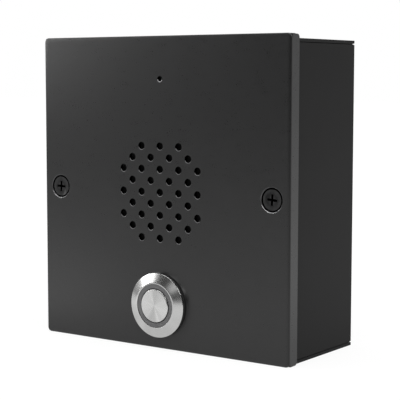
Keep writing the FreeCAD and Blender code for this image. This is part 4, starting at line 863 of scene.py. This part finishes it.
def circuit_board(name, mask):
    """Glass-fibre board: tracks under a green mask, tinned vias, and bare laminate at its edges."""
    board = material(name)
    x, _, z = board.axes()
    patch = board.node("ShaderNodeCombineXYZ", {}, {
        0: x.maths("FLOOR", x / BOARD_CELL),
        1: z.maths("FLOOR", z / BOARD_CELL),
    })
    chance = board.node("ShaderNodeTexWhiteNoise", {"noise_dimensions": "3D"}, {"Vector": patch})
    upright = x.maths("FRACT", x / TRACK_PITCH) < TRACK_SHARE
    level = z.maths("FRACT", z / TRACK_PITCH) < TRACK_SHARE
    tracks = (chance > 0.62) * upright + (chance < 0.4) * level
    flat = board.node("ShaderNodeMapping", {}, {"Vector": board.place(), "Scale": (1, 0, 1)})
    nearest = board.node("ShaderNodeTexVoronoi", {}, {"Vector": flat, "Scale": 210})
    via = nearest < 0.13
    drilled = nearest < 0.06
    weave = board.noise(scale=1500, detail=2)
    facing = board.node("ShaderNodeNewGeometry", {}, {}, "Normal")
    edge = abs(board.node("ShaderNodeSeparateXYZ", {}, {"Vector": facing}, "Y")) < 0.5
    green = board.mix(tracks, mask, [channel * 1.9 for channel in mask])
    tinned = board.mix(via, board.shade(green, 0.85 + weave * 0.3), (0.56, 0.55, 0.5))
    holes = board.mix(drilled, tinned, (0.01, 0.01, 0.01))
    board.surface(
        Base_Color=board.mix(edge, holes, board.shade((0.32, 0.27, 0.13), 0.7 + weave * 0.6)),
        Metallic=via * (1 - drilled) * (1 - edge),
        Roughness=0.3 + weave * 0.1 + edge * 0.4,
        Normal=board.bump(tracks + via, depth=0.02 * MM, strength=0.6),
    )
    return board


green_board = circuit_board("green_board", (0.006, 0.07, 0.026))
dress("led_board", green_board)
lamp_resin = moulded("lamp_resin", (0.75, 0.72, 0.6), roughness=0.2)
refined("ring_leds", "ring_lamps", lamp_resin, "lamp_resin", edge=0.1 * MM)
pin_tin = plated("tinned_pin", (0.66, 0.66, 0.64), roughness=0.3)
dress("led_pins", pin_tin)

# Speaker
# A 50 mm paper-cone speaker on four studs: a woven dust screen and foam gasket at the front, a
# pressed steel frame, rubber surround, paper cone, copper voice coil, cloth spider and a magnet.

SCREEN_WEAVE = 0.45 * MM
SPIDER_WEAVE = 0.5 * MM
RIB_PITCH = 1.6 * MM
WIRE_PITCH = 0.2 * MM


def woven(name, tone, pitch, depth, specular=0.5):
    """A plain weave of threads along X and Z, a little uneven."""
    cloth = material(name)
    x, _, z = cloth.axes()
    turns = 2 * math.pi / pitch
    over = x.maths("SINE", x * turns) * z.maths("SINE", z * turns) * 0.5 + 0.5
    fuzz = cloth.noise(scale=1800, detail=3)
    cloth.surface(
        Base_Color=cloth.shade(tone, 0.4 + over * 0.7 + fuzz * 0.3),
        Roughness=0.88,
        Normal=cloth.bump(over + fuzz * 0.3, depth),
        Specular_IOR_Level=specular,
    )
    return cloth


screen_cloth = woven(
    "screen_cloth", (0.004, 0.004, 0.004), SCREEN_WEAVE, depth=0.08 * MM, specular=0.1
)
dress("dust_screen", screen_cloth)
dress("speaker_gasket", foam)
refined("speaker_frame", "speaker_basket", zinc, "zinc_steel", edge=0.15 * MM)
dress("speaker_surround", head_seal)
paper_cone = material("cone_paper")
fibres = paper_cone.noise(scale=1500, detail=5, stretch=(1, 1, 0.5))
pulp = paper_cone.noise(scale=260, detail=4)
x, _, z = paper_cone.axes((0, 0, grille_z))
radius = (x * x + z * z) ** 0.5
ribs = x.maths("SINE", radius * (2 * math.pi / RIB_PITCH)) * 0.5 + 0.5
paper_cone.surface(
    Base_Color=paper_cone.shade((0.03, 0.029, 0.028), 0.6 + fibres * 0.5 + pulp * 0.3),
    Roughness=0.82 + fibres * 0.1,
    Normal=paper_cone.bump(fibres * 0.5 + ribs * 0.5, depth=0.06 * MM),
)
dress("speaker_cone", paper_cone)
refined("dust_cap", "cone_dust_cap", paper_cone, "cone_paper", edge=0, body="cone")
copper = material("enamelled_copper")
_, y, _ = copper.axes()
wires = y.maths("SINE", y * (2 * math.pi / WIRE_PITCH))
enamel = copper.noise(scale=900, detail=2)
copper.surface(
    Base_Color=copper.shade((0.62, 0.25, 0.1), 0.75 + wires * 0.15 + enamel * 0.2),
    Metallic=0.9,
    Roughness=0.3 + enamel * 0.1,
    Normal=copper.bump(wires * 0.5 + 0.5, depth=0.06 * MM),
)
dress("voice_coil", copper)
dress("speaker_spider", woven("spider_cloth", (0.4, 0.22, 0.07), SPIDER_WEAVE, depth=0.06 * MM))
yoke_steel = plated("passivated_steel", (0.55, 0.53, 0.47), roughness=0.3)
refined("top_plate", "magnet_top_plate", yoke_steel, "yoke_steel", edge=0.2 * MM)
refined("yoke", "magnet_yoke", yoke_steel, "yoke_steel", edge=0.3 * MM)
ferrite = material("ferrite")
sinter = ferrite.noise(scale=1900, detail=4)
chips = ferrite.node("ShaderNodeTexVoronoi", {}, {"Vector": ferrite.place(), "Scale": 900})
ferrite.surface(
    Base_Color=ferrite.shade((0.035, 0.034, 0.035), 0.7 + sinter * 0.5 + chips * 0.2),
    Roughness=0.5 + sinter * 0.2,
    Normal=ferrite.bump(sinter, depth=0.03 * MM),
)
refined("magnet", "ring_magnet", ferrite, "ferrite", edge=0.4 * MM)
phenolic = moulded("phenolic_board", (0.2, 0.085, 0.03), roughness=0.55)
refined("speaker_terminal_board", "speaker_tag_board", phenolic, "phenolic", edge=0.08 * MM)
refined("speaker_lugs", "speaker_solder_lugs", pin_tin, "pin_tin", edge=0.08 * MM)
refined("speaker_studs", "speaker_stud_set", zinc, "zinc_steel", edge=0.1 * MM)
refined("speaker_washers", "speaker_washer_set", zinc, "zinc_steel", edge=0.08 * MM)
refined("speaker_nuts", "speaker_nut_set", zinc, "zinc_steel", edge=0.15 * MM)

# Microphone
# An aluminium electret capsule in a soft rubber boot, glued behind its pinhole.

can_aluminium = plated("drawn_aluminium", (0.78, 0.78, 0.79), roughness=0.24)
refined("mic_boot", "mic_rubber_boot", head_seal, "seal_rubber", edge=0.3 * MM, segments=3)
refined("mic_capsule", "mic_electret", can_aluminium, "can_aluminium", edge=0.15 * MM)

# Main board
# A green glass-fibre board on four brass standoffs carries all the electronics on its rear side,
# with the network jack and the door terminals at its lower edge.

dress("main_board", green_board)
refined("board_standoffs", "board_standoff_set", nut_brass, "nut_brass", edge=0.15 * MM)
refined("board_screws", "board_screw_set", zinc, "zinc_steel", edge=0.1 * MM)
jack_shield = plated("tinned_shield", (0.68, 0.69, 0.7), roughness=0.22)
refined("network_jack", "network_socket", jack_shield, "jack_shield", edge=0.25 * MM)
gold = plated("gold_plate", (0.9, 0.62, 0.22), roughness=0.18)
dress("jack_contacts", gold)
terminal_green = moulded("terminal_green", (0.02, 0.2, 0.07), roughness=0.34)
refined("terminal_block", "door_terminals", terminal_green, "terminal_green", edge=0.25 * MM)
refined("terminal_screws", "door_terminal_screws", zinc, "zinc_steel", edge=0.08 * MM)
relay_case = moulded("relay_case", (0.012, 0.05, 0.16), roughness=0.3)
refined("relay", "door_relay", relay_case, "relay_case", edge=0.4 * MM, segments=3)
transformer_case = moulded("transformer_case", (0.014, 0.014, 0.015), roughness=0.46)
refined("transformer", "line_transformer", transformer_case, "transformer_case", edge=0.4 * MM, segments=3)
refined("inductor", "power_choke", ferrite, "ferrite", edge=0.3 * MM)
chip_epoxy = moulded("chip_epoxy", (0.018, 0.018, 0.019), roughness=0.5)
refined("processor", "processor_package", chip_epoxy, "chip_epoxy", edge=0.12 * MM)
refined("memory_chip", "memory_package", chip_epoxy, "chip_epoxy", edge=0.12 * MM)
refined("amplifier_chip", "amplifier_package", chip_epoxy, "chip_epoxy", edge=0.12 * MM)
refined("crystal", "crystal_can", can_aluminium, "can_aluminium", edge=1.0 * MM, segments=4)
sleeve = moulded("capacitor_sleeve", (0.02, 0.024, 0.05), roughness=0.28)
refined("capacitors", "supply_capacitors", sleeve, "capacitor_sleeve", edge=0.3 * MM, segments=3)
refined("reset_switch", "reset_switch_body", black_nylon, "black_nylon", edge=0.25 * MM)
refined("reset_plunger", "reset_button", white_nylon, "white_nylon", edge=0.2 * MM, body="reset")
refined("wire_headers", "lead_headers", white_nylon, "white_nylon", edge=0.15 * MM)
refined("wire_plugs", "lead_plugs", white_nylon, "white_nylon", edge=0.15 * MM)

# Leads
# Thin insulated leads join the speaker, the microphone and the button's switch to their plugs on
# the board, soldered at one end and crimped in a plug at the other.

dress("speaker_wires", moulded("lead_black", (0.014, 0.014, 0.014), roughness=0.32))
dress("mic_wires", moulded("lead_red", (0.42, 0.012, 0.01), roughness=0.32))
dress("button_wires", moulded("lead_white", (0.66, 0.65, 0.62), roughness=0.32))

# Studio
# A white room and a pale floor. A large softbox at the left draws the sheen on the face, smaller
# ones edge the button and the countersinks, and the fills only lift the shadows.

floor_z = cad_box[0][2]


def toward(azimuth, elevation):
    """A direction from the object, azimuth in degrees from the front to the right."""
    bearing, rise = math.radians(azimuth), math.radians(elevation)
    flat = math.cos(rise)
    return Vector((math.sin(bearing) * flat, -math.cos(bearing) * flat, math.sin(rise)))


def softbox(name, azimuth, elevation, distance, width, height, power):
    """A rectangular lamp that stands in a direction from the object and is aimed at it."""
    place = toward(azimuth, elevation)
    bpy.ops.object.light_add(type="AREA")
    lamp = bpy.context.object
    lamp.name = name
    lamp.data.shape = "RECTANGLE"
    lamp.data.size = width
    lamp.data.size_y = height
    lamp.data.energy = power
    lamp.location = place * distance
    lamp.rotation_mode = "QUATERNION"
    lamp.rotation_quaternion = (-place).to_track_quat("-Z", "Y")
    return lamp


softbox("left_softbox", azimuth=-55.5, elevation=22, distance=0.9, width=0.43, height=0.36, power=1.26)
softbox("low_softbox", azimuth=-51, elevation=9.5, distance=0.9, width=0.12, height=0.16, power=0.8)
softbox("high_softbox", azimuth=-85, elevation=48, distance=0.9, width=0.3, height=0.3, power=0.7)
softbox("top_softbox", azimuth=0, elevation=88, distance=1.0, width=0.9, height=0.9, power=6)
softbox("right_softbox", azimuth=78, elevation=40, distance=0.9, width=0.5, height=0.4, power=2.2)
for lamp in (
    softbox("front_fill", azimuth=5, elevation=25, distance=1.2, width=0.8, height=0.8, power=3.4),
    softbox("rear_fill", azimuth=200, elevation=9, distance=1.2, width=0.4, height=0.3, power=2.6),
):
    lamp.visible_glossy = False

bpy.ops.mesh.primitive_plane_add(size=8, location=(0, 0, floor_z))
floor = bpy.context.object
floor.name = "floor"
FLOOR_WHITE = 1.04
FLOOR_GLOW = 0.86
FLOOR_REAR = 1.12
FLOOR_FRONT = 0.85
paper = material("floor_paper")
floor.data.materials.append(paper.owner)
mottle = paper.noise(scale=300)
paper.surface(
    Base_Color=paper.shade((0.86, 0.86, 0.86), 0.98 + mottle * 0.02),
    Roughness=0.9,
    Specular_IOR_Level=0.1,
)
# The camera sees the paper mostly by its own light, so that it runs into the white room. Coat and
# metal mirror its glow pale at the rear, dimmer in front, with a brighter patch of glow like a card
# at the front left.
across, along, _ = paper.axes()
rightward = across - along
reach = (across * across + along * along) ** 0.5
far = paper.ramp(reach, 0.1, 1.2)
clear = paper.ramp(reach, 0.1, 0.15)
near = paper.ramp(reach, 0.11, 0.06)
rear = paper.ramp(along + across, 0.05, 0.25)
# Glow seen only in reflections: a brighter patch along the front-left diagonal.
card_glow = paper.ramp(abs(rightward), 0.09, 0.01)
right = paper.ramp(rightward, 0.12, 0.2)
seen = paper.node("ShaderNodeLightPath", {}, {}, "Is Camera Ray")
mirrored = seen.beside("Is Glossy Ray")
front = (1 - far) * FLOOR_FRONT * (1 + card_glow * card_glow * clear * 0.8 + right * 0.2 - near * 0.15)
level = seen * FLOOR_WHITE + mirrored * (rear * (FLOOR_REAR - far * 0.3) + (1 - rear) * front)
glow = paper.node("ShaderNodeEmission", {}, {"Color": (1, 1, 1), "Strength": level})
share = seen * (FLOOR_GLOW + far * (1 - FLOOR_GLOW)) + mirrored
matt = Signal(paper, paper.shader.outputs[0])
sheet = paper.node("ShaderNodeMixShader", {}, {0: share, 1: matt, 2: glow})
paper.tree.links.new(sheet.socket, paper.tree.nodes["Material Output"].inputs["Surface"])

world = bpy.data.worlds.new("studio")
bpy.context.scene.world = world
room = Finish(world, "Background")
seen = room.node("ShaderNodeLightPath", {}, {}, "Is Camera Ray")
mirrored = seen.beside("Is Glossy Ray")
passed = seen.beside("Is Transmission Ray")
outlook = room.node("ShaderNodeTexCoord", {}, {}, "Generated")
sideways = room.node("ShaderNodeSeparateXYZ", {}, {"Vector": outlook})
behind, above = sideways.beside(1), sideways.beside(2)
back_wall = room.ramp(behind, -0.1, 0.4)
ROOM_FRONT = 0.045
ROOM_BACK = 0.62
ROOM_FILL = 0.35


def glimpse(azimuth, elevation, spread, strength):
    """A dim soft-edged panel of the room, spread degrees wide to each side, seen in bright metal."""
    middle = toward(azimuth, elevation)
    nearness = sideways * middle.x + behind * middle.y + above * middle.z
    edge, core = math.cos(math.radians(spread)), math.cos(math.radians(spread * 0.3))
    return room.ramp(nearness, edge, core) * strength


left_panel = glimpse(azimuth=-72, elevation=9, spread=14, strength=0.4)
front_panel = glimpse(azimuth=-5, elevation=18, spread=9, strength=0.8)
glossy_level = ROOM_FRONT + back_wall * (ROOM_BACK - ROOM_FRONT) + left_panel + front_panel
white = seen.maths("MAXIMUM", seen, passed)
lit = seen.maths("MAXIMUM", white, mirrored * glossy_level)
plain = (1 - white) * (1 - mirrored) * ROOM_FILL
room.surface(Color=(1, 1, 1), Strength=lit + plain)

# The camera takes the photograph's view, from the right and a little above.
CAMERA_PLACE = (0.2802, -0.4126, 0.0423)
CAMERA_YAW = math.radians(35.6334)
CAMERA_PITCH = math.radians(5.5292)
CAMERA_ROLL = math.radians(0.0537)
CAMERA_LENS = 113.61
bpy.ops.object.camera_add(location=CAMERA_PLACE)
camera = bpy.context.object
camera.rotation_mode = "QUATERNION"
unrolled = Euler((math.pi / 2 - CAMERA_PITCH, 0, CAMERA_YAW)).to_quaternion()
camera.rotation_quaternion = unrolled @ Quaternion((0, 0, 1), CAMERA_ROLL)
camera.data.lens = CAMERA_LENS
bpy.context.scene.camera = camera
bpy.context.scene.view_settings.view_transform = "Standard"
